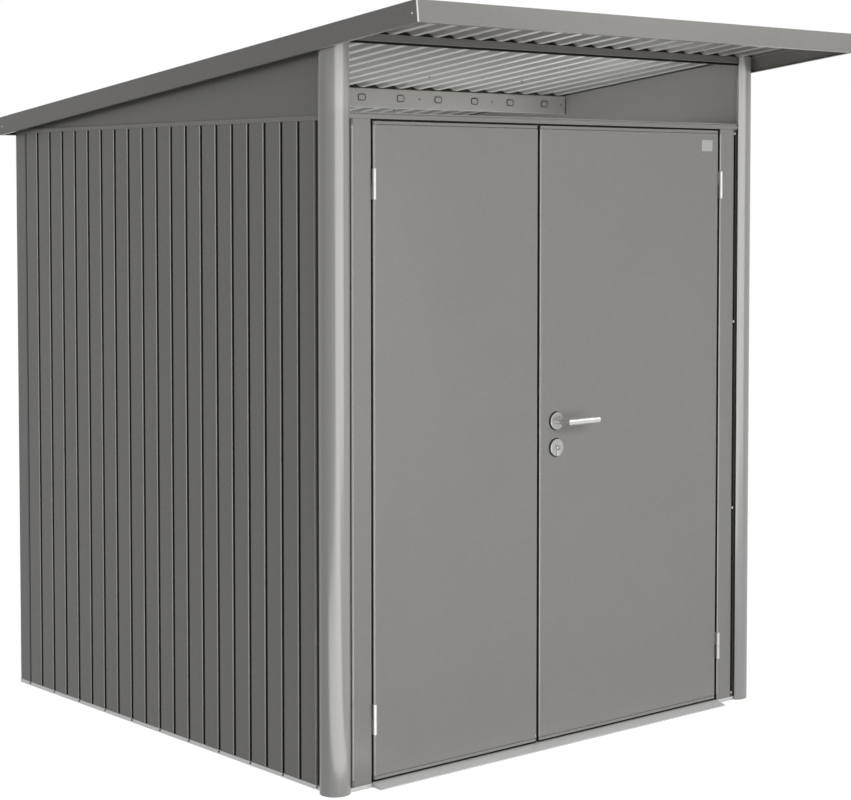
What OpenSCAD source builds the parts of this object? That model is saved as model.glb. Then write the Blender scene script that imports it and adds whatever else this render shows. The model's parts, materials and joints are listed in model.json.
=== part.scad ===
// Metal tool shed: folded sheet walls on an aluminium base frame, half round front posts,
// a mono pitch roof of trapezoid sheets behind a deep fascia, a clear transom
// and a pair of unequal hinged doors with a lever lock on the wider leaf.
// Millimetres, +Z up. The front faces -Y and the origin is on the ground under the roof's middle.

/* [Roof] */
// Width of the roof over its side fascias
roof_w = 1800; // [1600:10:2400]
// Plan depth of the roof along its top edges
roof_d = 2210; // [1800:10:2800]
// Height of the front fascia's top edge above the ground
roof_front_h = 2184.5; // [1900:0.5:2500]
// Fall of the roof from its front top edge to its rear top edge
roof_fall = 246.5; // [120:0.5:320]
// Depth of the fascia, square to the roof
fascia_h = 60; // [40:1:90]
// Thickness of the fascia sheet
fascia_t = 1.2; // [0.8:0.1:2]
// Width of the fascia's turned in lips
fascia_lip = 12; // [6:1:25]
// Overhang of the roof in front of the doors
front_overhang = 398; // [200:1:500]
// Overhang of the roof behind the rear wall
rear_overhang = 50; // [20:1:120]
// Overhang of the roof beside the side walls
side_overhang = 39; // [30:1:120]
// Nominal pitch of the roof sheet's ribs
rib_pitch = 81; // [50:1:150]
// Height of the roof sheet's ribs
rib_h = 10; // [6:0.5:20]
// Thickness of the roof sheet
roof_t = 0.8; // [0.5:0.1:1.5]

/* [Walls] */
// Height of the wall panels' lower seat above the ground
base_h = 12; // [8:0.5:30]
// Drop from the rear fascia's top edge to the lower edge of the wall caps
wall_drop = 53.5; // [45:0.5:80]
// Height of the wall cap's outer lip
cap_h = 13.5; // [8:0.5:25]
// Nominal width of one wall element
element_w = 161.5; // [100:0.5:300]
// Depth of the vertical grooves in the walls
groove_d = 12; // [6:0.5:20]
// Width of the slot at the bottom of a groove
slot_w = 8; // [4:0.5:14]
// Bevel along each groove and panel edge
bevel = 3; // [1:0.5:5]
// Thickness of the wall, gable and door sheet
sheet_t = 1; // [0.6:0.1:1.5]
// Side face of the folded rear corner
rear_corner_side_w = 63.8; // [40:0.1:90]
// Back face of the folded rear corner
rear_corner_back_w = 54; // [40:0.5:90]

/* [Posts] */
// Radius of the half round front posts
post_r = 44; // [32:0.5:60]
// Wall of the front posts
post_wall = 2.5; // [1.5:0.1:5]
// How far a post stands out from the side wall
post_out_side = 25; // [10:0.5:34]
// How far a post stands out from the front
post_out_front = 18; // [8:0.5:26]
// Distance from a post's circle to the middle of the first wall joint
post_joint = 13.6; // [13:0.1:25]

/* [Front] */
// Gap from a post's edge to the fixed panel beside it
panel_gap = 11.8; // [4:0.1:20]
// Width of the fixed panels beside the doors
front_panel_w = 71; // [50:1:150]
// Drop from the front fascia's top edge to the underside of the head rail
head_drop = 294; // [240:0.5:400]
// Height of the head rail
head_h = 18; // [12:0.5:40]
// Depth of the head rail, front to back
head_d = 42; // [38:1:60]
// Height of the front roof beam at its face
front_beam_h = 21; // [15:0.5:50]
// Depth of the roof beams, front to back
beam_d = 30; // [20:1:50]
// Wall of the roof beams
beam_t = 2; // [1.2:0.1:4]
// Height of the middle roof beam
mid_beam_h = 66; // [50:1:90]
// Thickness of the clear transom pane
pane_t = 4; // [3:0.5:8]
// Height of the door sill
sill_h = 13.5; // [10:0.5:25]
// How far the door sill reaches out in front of the doors
sill_out = 40; // [20:1:80]

/* [Doors] */
// Running gap around and between the door leaves
door_gap = 6.5; // [6:0.1:9]
// Distance of the meeting gap left of the middle
meet_offset = 82.5; // [0:0.5:150]
// Thickness of a door leaf
leaf_t = 36; // [30:1:50]
// Bevel along the front edges of leaves and fixed panels
leaf_bevel = 5; // [2:0.5:6]
// Height of the rim at the top and bottom of a leaf
rim_h = 10; // [5:0.5:20]
// Width of the turned in lips at the back of a leaf
leaf_lip = 15; // [8:1:25]

/* [Hinges] */
// Radius of a hinge barrel
hinge_r = 6; // [5:0.25:7]
// Length of a hinge barrel
hinge_l = 87; // [60:1:120]
// Distance of the hinge axis in front of the doors
hinge_out = 7; // [6.5:0.25:9]
// Distance from a leaf's end to its hinge
hinge_inset = 132; // [80:1:300]
// Radius of the hinge pin
pin_r = 3; // [2:0.25:4]

/* [Lock] */
// Height of the lever's axis
lever_z = 991; // [900:1:1100]
// Distance from the lever's axis to the leaf's free edge
backset = 68; // [50:1:80]
// Radius of the round roses
rose_r = 26.5; // [20:0.5:32]
// Thickness of the round roses
rose_t = 8; // [5:0.5:12]
// Drop from the lever's axis to the key cylinder
key_drop = 81; // [72:1:100]
// Radius of the lever bar and its neck
lever_r = 9.5; // [6:0.5:12]
// Reach of the lever bar from its axis
lever_l = 124; // [90:1:150]
// Distance of the lever bar's middle in front of the door
lever_out = 60; // [45:1:75]

/* [Hidden] */
$fn = 64;
// Overrun of every cut past the faces that it opens
overrun = 2;
// Clearance between pieces that seat on each other
seat = 0.3;
// Clearance of a pin or neck in its bore
running = 0.08;

// Roof slope and the places that follow from it
pitch = atan(roof_fall / roof_d);
roof_l = roof_d / cos(pitch);
roof_front_y = (fascia_h * sin(pitch) - roof_d) / 2;
roof_x = roof_w / 2;
sheet_drop = fascia_t + seat;
valley_n = sheet_drop + rib_h + roof_t;
front_y = roof_front_y + front_overhang;
rear_y = roof_front_y + roof_d - rear_overhang;
body_w = roof_w - 2 * side_overhang;
wall_x = body_w / 2;
wall_h = roof_front_h - roof_fall - wall_drop;
head_z = roof_front_h - head_drop;
wall_deep = groove_d + sheet_t;

// Roof ribs, shared out over the sheets
sheet_count = 4;
roof_span = roof_w - 2 * (fascia_t + seat);
rib_count = max(sheet_count, round(roof_span / rib_pitch));
rib_step = roof_span / rib_count;
rib_crest_share = 0.35;
rib_flank_share = 0.2;

// Posts and the wall joints next to them
post_x = wall_x + post_out_side - post_r;
post_y = front_y - post_out_front + post_r;
front_joint_y = post_y + post_r + post_joint;
rear_joint_y = rear_y - rear_corner_side_w;
side_run = rear_joint_y - front_joint_y;
side_count = max(1, round(side_run / element_w));
side_element = side_run / side_count;
rear_joint_x = wall_x - rear_corner_back_w;
rear_count = max(1, round(2 * rear_joint_x / element_w));
rear_element = 2 * rear_joint_x / rear_count;
lap = 8;

// A post's flat back runs through its axis at 45 degrees, and what ends there keeps clear of it
post_lip = post_r / sqrt(2);
back_gap = seat * 2;
wall_tuck_y = post_y + wall_x - groove_d - post_x + back_gap;
gable_set = 2;
gable_front_y = post_y + wall_x - gable_set - post_x + back_gap;

// Base frame profile
rail_proud = 1;
rail_wall = 2;
rail_flange = 45;
rail_up_d = wall_deep + rail_wall;
rail_up_h = 60;

// Wall caps and gables
cap_t = 1.2;
cap_proud = cap_t + seat;
cap_in = wall_deep + lap;
cap_top = wall_h + cap_h;
panel_top = cap_top - cap_t - seat;
gable_foot = 18;

// Front panels and the door opening
panel_edge_x = post_x - post_lip - panel_gap;
panel_tuck_x = post_x - post_y + front_y + groove_d - back_gap;
jamb_x = panel_edge_x - front_panel_w;
jamb_d = 34;
head_proud = 2;
head_step = 1;
head_line_d = 4;
head_line_shares = [0.64, 0.8];
cap_front_y = front_y + head_d + seat;
pane_set = 5;
pane_y = front_y + pane_set;
pane_x = post_x - post_y + pane_y - back_gap;
mid_beam_share = 0.484;
mid_beam_y = front_y + mid_beam_share * (rear_y - front_y);
boss_count = 10;
boss_w = 27.5;
boss_h = 18;
boss_r = 4.5;
boss_out = 1.2;
boss_step_share = 0.0968;
sill_nose = 3;
sill_in = 38;
sill_wall = 2;

// Door leaves
leaf_edge_x = jamb_x - door_gap;
leaf_z0 = sill_h + door_gap;
leaf_z1 = head_z - door_gap;
meet_left_x = -meet_offset - door_gap / 2;
meet_right_x = -meet_offset + door_gap / 2;
rim_back = sheet_t + seat;
rim_line_h = 2;
rim_line_d = 4;
rim_up = 18;
hat_w = 40;
hat_foot = 14;
hat_shares = [1 / 3, 2 / 3];

// Hinges
hinge_x = jamb_x - door_gap / 2;
hinge_y = front_y - hinge_out;
hinge_plate_t = 2;
hinge_plate_in = 30;
hinge_split = 1;
hinge_zs = [leaf_z0 + hinge_inset, leaf_z1 - hinge_inset - hinge_l];

// Lock and lever
lever_x = meet_right_x + backset;
case_back = 45;
case_w = backset + case_back;
case_up = 60;
case_down = 150;
case_y0 = front_y + sheet_t + seat;
case_y1 = front_y + leaf_t - sheet_t - seat;
spindle_r = 4;
key_r = 8.5;
key_web_w = 10;
key_web_h = 16;
key_out = 3;
rose_round = 2;
skin_hole_r = 12;

paint = "#8b8a85";
shade = "#6f6e6a";
alloy = "#c3c4c3";
satin = "#d4d5d6";

// Folded sheet: a path on the outer face, thickened to its left
function unit(v) = v / norm(v);
function left_of(a, b) = let (d = unit(b - a)) [-d[1], d[0]];
function mitre(path, i) =
    i == 0 ? left_of(path[0], path[1])
    : i == len(path) - 1 ? left_of(path[i - 1], path[i])
    : let (m = left_of(path[i - 1], path[i]), n = left_of(path[i], path[i + 1])) (m + n) / (1 + m * n);
function thickened(path, t) =
    concat(path, [for (i = [len(path) - 1 : -1 : 0]) path[i] + t * mitre(path, i)]);

module folded(path, t, length) linear_extrude(length) polygon(thickened(path, t));

// Sections drawn in Y and Z, run along X
module along_x(x0, x1) translate([x0, 0, 0]) rotate([90, 0, 90]) linear_extrude(x1 - x0) children();

// Sections drawn in X and Z, run along Y
module along_y(y0, y1) translate([0, y1, 0]) rotate([90, 0, 0]) linear_extrude(y1 - y0) children();

module mirrored() mirror([1, 0, 0]) children();

// Roof frame: X across, Y down the slope from the front top edge, Z square to the roof
module on_roof() translate([0, roof_front_y, roof_front_h]) rotate([-pitch, 0, 0]) children();

// Height of the ribs' underside, less the seat, over a place in Y
function seat_z(y) =
    roof_front_h - (y - roof_front_y) * tan(pitch) - (valley_n + seat) / cos(pitch);

// Half space beyond the 45 degree mitre at the left rear corner, with proud as the profile's overhang
module mitre_half(proud, side) {
    reach = body_w;
    translate([-wall_x - proud, rear_y + proud, -overrun]) rotate(-45)
        translate([-reach, side > 0 ? -seat / 2 : seat / 2 - reach, 0])
            cube([2 * reach, reach, roof_front_h]);
}

// Base frame profile in depth from the wall face and height
module rail_profile() difference() {
    polygon([
        [-rail_proud, 0], [rail_flange, 0], [rail_flange, rail_wall], [rail_up_d + rail_wall, rail_wall],
        [rail_up_d + rail_wall, rail_up_h], [rail_up_d, rail_up_h], [rail_up_d, base_h],
        [-rail_proud, base_h]
    ]);
    translate([-rail_proud + rail_wall, rail_wall])
        square([rail_up_d + rail_proud - 2 * rail_wall, base_h - 2 * rail_wall]);
}

// Half disc of the left post, towards its outer corner, with its flat back moved by set
module half_round(r, set) intersection() {
    circle(r);
    rotate(225) translate([set, -2 * r]) square([2 * r, 4 * r]);
}

// Clearance for pieces that are coped around the left post
module post_cope() translate([-post_x, post_y, -overrun])
    linear_extrude(roof_front_h + 2 * overrun) half_round(post_r + seat, -seat);

module base_rail_left() color(alloy) difference() {
    along_y(front_y, rear_y + rail_proud) translate([-wall_x, 0]) rail_profile();
    mitre_half(rail_proud, 1);
    post_cope();
}

module base_rail_right() mirrored() base_rail_left();

module base_rail_rear() color(alloy) difference() {
    along_x(-wall_x - rail_proud, wall_x + rail_proud)
        translate([rear_y, 0]) mirror([1, 0]) rail_profile();
    mitre_half(rail_proud, -1);
    mirrored() mitre_half(rail_proud, -1);
}

module base_rail_front_left() color(alloy) difference() {
    along_x(-wall_x + rail_flange + seat, -jamb_x - sheet_t - seat)
        translate([front_y, 0]) rail_profile();
    post_cope();
}

module base_rail_front_right() mirrored() base_rail_front_left();

// Hollow ramp section of the sill, from its nose to its inner edge
module door_sill() color(alloy)
    along_x(-jamb_x + seat, jamb_x - seat) translate([front_y, 0]) difference() {
        polygon([[-sill_out, 0], [sill_in, 0], [sill_in, sill_h], [0, sill_h], [-sill_out, sill_nose]]);
        translate([sill_wall, sill_wall]) square([sill_in - 2 * sill_wall, sill_h - 2 * sill_wall]);
    }

// Half round tube with a closed foot, cut to the roof's slope
module corner_post_left() color(alloy) difference() {
    translate([-post_x, post_y, 0]) linear_extrude(roof_front_h) half_round(post_r, 0);
    translate([-post_x, post_y, post_wall])
        linear_extrude(roof_front_h) half_round(post_r - post_wall, post_wall);
    on_roof() translate([-roof_x, 0, -valley_n - seat]) cube([roof_w, roof_l, roof_front_h]);
}

module corner_post_right() mirrored() corner_post_left();

// Plan path of a folded rear corner, from its rear edge round to its side edge
function corner_path(lapped) = concat(
    lapped
        ? [[-rear_joint_x + slot_w / 2 + lap, rear_y - groove_d],
            [-rear_joint_x - slot_w / 2, rear_y - groove_d]]
        : [[-rear_joint_x - slot_w / 2, rear_y - groove_d + seat]],
    [
        [-rear_joint_x - slot_w / 2, rear_y - bevel], [-rear_joint_x - slot_w / 2 - bevel, rear_y],
        [-wall_x, rear_y],
        [-wall_x, rear_joint_y + slot_w / 2 + bevel], [-wall_x + bevel, rear_joint_y + slot_w / 2],
        [-wall_x + groove_d, rear_joint_y + slot_w / 2],
        [-wall_x + groove_d, rear_joint_y - slot_w / 2 - lap]
    ]
);

module rear_corner(lapped) color(paint) translate([0, 0, base_h])
    folded(corner_path(lapped), sheet_t, panel_top - base_h);

module rear_corner_left() rear_corner(true);

module rear_corner_right() mirrored() rear_corner(false);

// Plan path of one wall element: plain fold, middle groove, and a flange that laps past its width
function element_path(width, past) = let (mid = width / 2, half = slot_w / 2, shoulder = half + bevel) [
    [half, groove_d - seat], [half, bevel], [shoulder, 0],
    [mid - shoulder, 0], [mid - half, bevel], [mid - half, groove_d],
    [mid + half, groove_d], [mid + half, bevel], [mid + shoulder, 0],
    [width - shoulder, 0], [width - half, bevel], [width - half, groove_d],
    [width + past, groove_d]
];

// Elements side by side, the flange of the last one with a reach of its own
module wall_run(count, width, last_past) for (i = [0 : count - 1])
    translate([i * width, 0, base_h])
        folded(element_path(width, i < count - 1 ? flange_past : last_past), sheet_t, panel_top - base_h);

flange_past = slot_w / 2 + lap;

module left_wall_panels() color(paint) translate([-wall_x, rear_joint_y, 0]) rotate(-90)
    wall_run(side_count, side_element, front_joint_y - wall_tuck_y);

module right_wall_panels() mirrored() left_wall_panels();

module rear_wall_panels() color(paint)
    translate([-rear_joint_x, rear_y, 0]) mirror([0, 1, 0])
        wall_run(rear_count, rear_element, flange_past);

// Inverted channel over the wall panels, in depth from the wall face and height
module cap_profile() polygon(thickened([
    [cap_in, wall_h], [cap_in, cap_top], [-cap_proud, cap_top], [-cap_proud, wall_h]
], cap_t));

module left_wall_cap() color(paint) difference() {
    along_y(cap_front_y, rear_y + cap_proud) translate([-wall_x, 0]) cap_profile();
    mitre_half(cap_proud, 1);
    post_cope();
}

module right_wall_cap() mirrored() left_wall_cap();

module rear_wall_cap() color(paint) difference() {
    along_x(-wall_x - cap_proud, wall_x + cap_proud) translate([rear_y, 0]) mirror([1, 0]) cap_profile();
    mitre_half(cap_proud, -1);
    mirrored() mitre_half(cap_proud, -1);
}

// Flat sheet between the wall cap and the roof, with a foot turned in on the cap
module left_gable() color(paint) {
    translate([-wall_x + gable_set, 0, 0]) along_x(0, sheet_t) polygon([
        [gable_front_y, cap_top], [rear_y - gable_set, cap_top],
        [rear_y - gable_set, seat_z(rear_y - gable_set)], [gable_front_y, seat_z(gable_front_y)]
    ]);
    translate([-wall_x + gable_set, gable_front_y, cap_top])
        cube([gable_foot, rear_y - beam_d - gable_set - seat - gable_front_y, sheet_t]);
}

module right_gable() mirrored() left_gable();

// Closed beam section under the roof, with its top along the slope
module beam_profile(y0, z0) difference() {
    polygon([[y0, z0], [y0 + beam_d, z0], [y0 + beam_d, seat_z(y0 + beam_d)], [y0, seat_z(y0)]]);
    polygon([
        [y0 + beam_t, z0 + beam_t], [y0 + beam_d - beam_t, z0 + beam_t],
        [y0 + beam_d - beam_t, seat_z(y0 + beam_d) - beam_t], [y0 + beam_t, seat_z(y0) - beam_t]
    ]);
}

gable_in_x = wall_x - gable_set - sheet_t - seat;

module rear_roof_beam() color(shade)
    along_x(-gable_in_x, gable_in_x) beam_profile(rear_y - gable_set - beam_d, cap_top);

// Rounded square boss pressed out of the middle beam's face
module boss_outline() {
    square([boss_w - 2 * boss_r, boss_h], center = true);
    square([boss_w, boss_h - 2 * boss_r], center = true);
    for (x = [-1, 1], z = [-1, 1])
        translate([x * (boss_w / 2 - boss_r), z * (boss_h / 2 - boss_r)]) circle(boss_r);
}

module mid_roof_beam() color(paint) {
    mid_z = seat_z(mid_beam_y) - mid_beam_h;
    along_x(-gable_in_x, gable_in_x) beam_profile(mid_beam_y, mid_z);
    for (i = [0 : boss_count - 1])
        translate([(i - (boss_count - 1) / 2) * boss_step_share * body_w, 0, mid_z + mid_beam_h / 2])
            along_y(mid_beam_y - boss_out, mid_beam_y + beam_t / 2) boss_outline();
}

module front_roof_beam() color(shade) difference() {
    along_x(-post_x, post_x) beam_profile(front_y, seat_z(front_y) - front_beam_h);
    post_cope();
    mirrored() post_cope();
}

// Folded fixed panel beside the doors, with a flange that tucks in behind the post
module front_panel_left() color(paint) translate([0, 0, base_h]) folded([
    [-panel_tuck_x, front_y + groove_d], [-panel_edge_x, front_y + groove_d],
    [-panel_edge_x, front_y + leaf_bevel],
    [-panel_edge_x + leaf_bevel, front_y], [-jamb_x - leaf_bevel, front_y],
    [-jamb_x, front_y + leaf_bevel], [-jamb_x, front_y + jamb_d]
], sheet_t, head_z - base_h);

module front_panel_right() mirrored() front_panel_left();

// Rail over the doors, with a line along its stepped face and ends coped to the posts
module door_head_rail() color(paint) difference() {
    face_y = front_y - head_proud;
    line_zs = head_line_shares * head_h;
    along_x(-post_x, post_x) translate([0, head_z]) difference() {
        polygon([
            [face_y, 0], [front_y + head_d, 0], [front_y + head_d, head_h],
            [face_y + head_step, head_h], [face_y + head_step, line_zs[1]],
            [face_y + head_line_d, line_zs[1]], [face_y + head_line_d, line_zs[0]], [face_y, line_zs[0]]
        ]);
        translate([face_y + head_line_d + beam_t, beam_t])
            square([head_d + head_proud - head_line_d - 2 * beam_t, head_h - 2 * beam_t]);
    }
    post_cope();
    mirrored() post_cope();
}

module transom_pane() color("#dfe8e8", 0.35)
    translate([-pane_x, pane_y, head_z + head_h])
        cube([2 * pane_x, pane_t, seat_z(front_y) - front_beam_h - seat - head_z - head_h]);

// One rib: half valley, flank, crest, flank, half valley, as shares of the rib step
function rib_path(i) = let (
    mid = rib_x(i) + rib_step / 2,
    crest = rib_crest_share * rib_step / 2,
    foot = crest + rib_flank_share * rib_step
) [[mid - foot, -rib_h], [mid - crest, 0], [mid + crest, 0], [mid + foot, -rib_h]];

// Place of a rib's left foot line, and the first rib of a sheet
function rib_x(i) = i * rib_step - roof_span / 2;
function first_rib(k) = k < sheet_count / 2
    ? round(k * rib_count / sheet_count)
    : rib_count - round((sheet_count - k) * rib_count / sheet_count);

function sheet_path(first, next) = concat(
    [[rib_x(first) + seat / 2, -rib_h]],
    [for (i = [first : next - 1]) for (p = rib_path(i)) p],
    [[rib_x(next) - seat / 2, -rib_h]]
);

module roof_sheets() color(shade) on_roof() for (k = [0 : sheet_count - 1])
    translate([0, 0, -sheet_drop - roof_t]) along_y(fascia_t + seat, roof_l - fascia_t - seat)
        polygon(thickened(sheet_path(first_rib(k), first_rib(k + 1)), roof_t));

// Front fascia between the side fascias, with lips trimmed clear of theirs
module end_fascia() {
    reach = roof_x - fascia_t - seat;
    trim = fascia_lip + seat;
    translate([-reach, 0, -fascia_h]) cube([2 * reach, fascia_t, fascia_h]);
    for (z = [-fascia_h, -fascia_t])
        translate([-reach + trim, 0, z]) cube([2 * (reach - trim), fascia_lip, fascia_t]);
}

module fascia_front() color(paint) on_roof() end_fascia();

module fascia_rear() color(paint) on_roof() translate([0, roof_l, 0]) mirror([0, 1, 0]) end_fascia();

// Side fascia over the full depth, with lips that stop at the end fascias
module fascia_left() color(paint) on_roof() translate([-roof_x, 0, 0]) {
    translate([0, 0, -fascia_h]) cube([fascia_t, roof_l, fascia_h]);
    for (z = [-fascia_h, -fascia_t]) translate([0, fascia_t + seat, z])
        cube([fascia_lip, roof_l - 2 * (fascia_t + seat), fascia_t]);
}

module fascia_right() mirrored() fascia_left();

// Half of a hinge: a bored barrel with a plate in the door gap, drawn for the left side
module hinge_half(z, length, plate_x, bore) difference() {
    translate([-hinge_x, hinge_y, z]) {
        cylinder(r = hinge_r, h = length);
        translate([plate_x, 0, 0]) cube([hinge_plate_t, hinge_out + hinge_plate_in, length]);
    }
    if (bore) translate([-hinge_x, hinge_y, z - overrun])
        cylinder(r = pin_r + running, h = length + 2 * overrun);
}

hinge_half_l = (hinge_l - hinge_split) / 2;

module frame_hinges_left() color(satin) for (z = hinge_zs) {
    hinge_half(z, hinge_half_l, -door_gap / 2, false);
    translate([-hinge_x, hinge_y, z]) cylinder(r = pin_r, h = hinge_l);
}

module frame_hinges_right() mirrored() frame_hinges_left();

module door_left_hinges() color(satin) for (z = hinge_zs)
    hinge_half(z + hinge_l - hinge_half_l, hinge_half_l, door_gap / 2 - hinge_plate_t, true);

module door_right_hinges() mirrored() door_left_hinges();

// Folded door leaf, open at the back, with its face cut away at the rims
module leaf_skin(x0, x1) difference() {
    translate([0, 0, leaf_z0]) folded([
        [x0 + leaf_lip, front_y + leaf_t], [x0, front_y + leaf_t], [x0, front_y + leaf_bevel],
        [x0 + leaf_bevel, front_y], [x1 - leaf_bevel, front_y], [x1, front_y + leaf_bevel],
        [x1, front_y + leaf_t], [x1 - leaf_lip, front_y + leaf_t]
    ], sheet_t, leaf_z1 - leaf_z0);
    for (z = [leaf_z0 - overrun, leaf_z1 - rim_h]) translate([x0 + leaf_bevel, front_y - overrun, z])
        cube([x1 - x0 - 2 * leaf_bevel, overrun + rim_back, rim_h + overrun]);
}

// Channel that closes the foot of a leaf, its face level with the skin and set off by a line
module leaf_rim(x0, x1) {
    y0 = front_y + seat;
    y1 = front_y + leaf_t - sheet_t - seat;
    line_y = front_y + rim_line_d;
    line_z = rim_h - rim_line_h;
    along_x(x0 + leaf_bevel + seat, x1 - leaf_bevel - seat) polygon(thickened([
        [line_y, rim_h + rim_up], [line_y, line_z], [y0, line_z], [y0, 0], [y1, 0], [y1, rim_h + rim_up]
    ], sheet_t));
}

module leaf_rims(x0, x1) {
    translate([0, 0, leaf_z0]) leaf_rim(x0, x1);
    translate([0, 0, leaf_z1]) mirror([0, 0, 1]) leaf_rim(x0, x1);
}

// Upright hat sections on the inner face of the skin
module leaf_stiffeners(x0, x1) for (share = hat_shares) {
    y0 = front_y + sheet_t;
    y1 = y0 + leaf_t - 2 * sheet_t - leaf_bevel;
    z0 = leaf_z0 + rim_h + rim_up + seat;
    translate([x0 + share * (x1 - x0), 0, z0]) folded([
        [hat_w / 2 + hat_foot, y0], [hat_w / 2, y0], [hat_w / 2, y1],
        [-hat_w / 2, y1], [-hat_w / 2, y0], [-hat_w / 2 - hat_foot, y0]
    ], -sheet_t, leaf_z1 - rim_h - rim_up - seat - z0);
}

module door_left_skin() color(paint) leaf_skin(-leaf_edge_x, meet_left_x);

module door_left_rims() color(paint) leaf_rims(-leaf_edge_x, meet_left_x);

module door_left_stiffeners() color(shade) leaf_stiffeners(-leaf_edge_x, meet_left_x);

// Cut along Y through the leaf at the lever's axis
module lever_axis(y) translate([lever_x, y, lever_z]) rotate([-90, 0, 0]) children();

// Key cylinder outline: a round barrel over a narrow web
module key_outline(grow) {
    circle(key_r + grow);
    translate([-key_web_w / 2 - grow, 0]) square([key_web_w + 2 * grow, key_r + key_web_h + grow]);
}

module door_right_skin() color(paint) difference() {
    leaf_skin(meet_right_x, leaf_edge_x);
    lever_axis(front_y - overrun) cylinder(r = skin_hole_r, h = sheet_t + 2 * overrun);
    lever_axis(front_y - overrun) translate([0, key_drop, 0])
        linear_extrude(sheet_t + 2 * overrun) key_outline(seat);
}

module door_right_rims() color(paint) leaf_rims(meet_right_x, leaf_edge_x);

module door_right_stiffeners() color(shade) leaf_stiffeners(meet_right_x, leaf_edge_x);

// Lock housing behind the skin, bored for the spindle and the key cylinder
module lock_case() color(alloy) difference() {
    translate([meet_right_x + sheet_t + leaf_bevel, case_y0, lever_z - case_down])
        cube([case_w, case_y1 - case_y0, case_down + case_up]);
    lever_axis(case_y0 - overrun) cylinder(r = spindle_r + running, h = leaf_t + 2 * overrun);
    lever_axis(case_y0 - overrun) translate([0, key_drop, 0])
        linear_extrude(leaf_t + 2 * overrun) key_outline(seat);
}

module lock_cylinder() color(satin) lever_axis(front_y - rose_t - key_out) translate([0, key_drop, 0])
    linear_extrude(case_y1 - front_y + 2 * (rose_t + key_out)) key_outline(0);

// Turned rose with a rounded rim, seated at the foot of its local Z
module rose() rotate_extrude() {
    square([rose_r, rose_t - rose_round]);
    square([rose_r - rose_round, rose_t]);
    translate([rose_r - rose_round, rose_t - rose_round]) circle(rose_round);
}

// Outer and inner place of a fitting on the right leaf
module both_faces() {
    lever_axis(front_y) rotate([180, 0, 0]) children();
    lever_axis(case_y1) mirror([0, 1, 0]) children();
}

module handle_roses() color(satin) both_faces() difference() {
    rose();
    translate([0, 0, -overrun]) cylinder(r = lever_r + running, h = rose_t + 2 * overrun);
}

module key_roses() color(satin) both_faces() translate([0, -key_drop, 0]) difference() {
    rose();
    translate([0, 0, -overrun]) linear_extrude(rose_t + 2 * overrun) mirror([0, 1]) key_outline(seat);
}

// Neck and bar mitred together, from the seat of the rose outwards
module lever_arm() {
    span = lever_out + lever_l;
    difference() {
        translate([0, 0, seat]) cylinder(r = lever_r, h = lever_out + lever_r - seat);
        translate([0, 0, lever_out]) rotate([0, 45, 0]) translate([-span, -span, 0]) cube(2 * span);
    }
    difference() {
        translate([-lever_r, 0, lever_out]) rotate([0, 90, 0])
            cylinder(r = lever_r, h = lever_l + lever_r);
        translate([0, 0, lever_out]) rotate([0, 45, 0])
            translate([-span, -span, -2 * span]) cube(2 * span);
    }
}

module lever_handle() color(satin) {
    both_faces() lever_arm();
    lever_axis(front_y - rose_t) cylinder(r = spindle_r, h = case_y1 - front_y + 2 * rose_t);
}

base_rail_left();
base_rail_right();
base_rail_rear();
base_rail_front_left();
base_rail_front_right();
door_sill();
corner_post_left();
corner_post_right();
rear_corner_left();
rear_corner_right();
left_wall_panels();
right_wall_panels();
rear_wall_panels();
left_wall_cap();
right_wall_cap();
rear_wall_cap();
left_gable();
right_gable();
rear_roof_beam();
mid_roof_beam();
front_roof_beam();
front_panel_left();
front_panel_right();
door_head_rail();
transom_pane();
roof_sheets();
fascia_front();
fascia_left();
fascia_right();
fascia_rear();
frame_hinges_left();
frame_hinges_right();
door_left_skin();
door_left_rims();
door_left_stiffeners();
door_left_hinges();
door_right_skin();
door_right_rims();
door_right_stiffeners();
door_right_hinges();
lock_case();
lock_cylinder();
handle_roses();
key_roses();
lever_handle();
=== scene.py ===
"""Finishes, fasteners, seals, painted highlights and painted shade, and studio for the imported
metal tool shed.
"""

import json
import logging
import math
from dataclasses import dataclass
from enum import Enum
from typing import Sequence, Union

import bmesh
import bpy
from mathutils import Matrix, Vector


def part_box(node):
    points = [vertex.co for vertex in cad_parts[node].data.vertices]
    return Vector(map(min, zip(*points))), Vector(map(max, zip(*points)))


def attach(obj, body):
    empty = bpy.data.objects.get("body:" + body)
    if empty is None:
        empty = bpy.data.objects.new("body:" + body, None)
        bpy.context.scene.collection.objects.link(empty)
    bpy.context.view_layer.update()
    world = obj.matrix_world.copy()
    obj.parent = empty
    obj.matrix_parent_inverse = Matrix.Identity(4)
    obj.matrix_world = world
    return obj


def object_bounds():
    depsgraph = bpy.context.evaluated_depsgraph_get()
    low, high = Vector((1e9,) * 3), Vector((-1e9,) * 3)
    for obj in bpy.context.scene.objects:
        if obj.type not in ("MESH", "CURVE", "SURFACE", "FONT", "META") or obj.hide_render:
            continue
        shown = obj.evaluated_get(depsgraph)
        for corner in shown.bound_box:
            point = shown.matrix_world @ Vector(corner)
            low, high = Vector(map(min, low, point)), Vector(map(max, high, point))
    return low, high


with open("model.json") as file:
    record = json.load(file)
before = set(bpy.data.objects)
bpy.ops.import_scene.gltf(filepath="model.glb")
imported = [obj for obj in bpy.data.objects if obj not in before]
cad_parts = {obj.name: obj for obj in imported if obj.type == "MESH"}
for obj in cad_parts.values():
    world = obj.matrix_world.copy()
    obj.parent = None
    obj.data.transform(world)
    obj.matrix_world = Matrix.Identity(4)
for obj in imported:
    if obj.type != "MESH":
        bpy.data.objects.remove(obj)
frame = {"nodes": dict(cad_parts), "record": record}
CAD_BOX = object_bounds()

LOG = logging.getLogger("shed")
MM = 0.001
SMOOTH_ANGLE = math.radians(35.0)
WELD_DISTANCE = 1e-7
HAIR_GAP = 0.05 * MM
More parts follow.
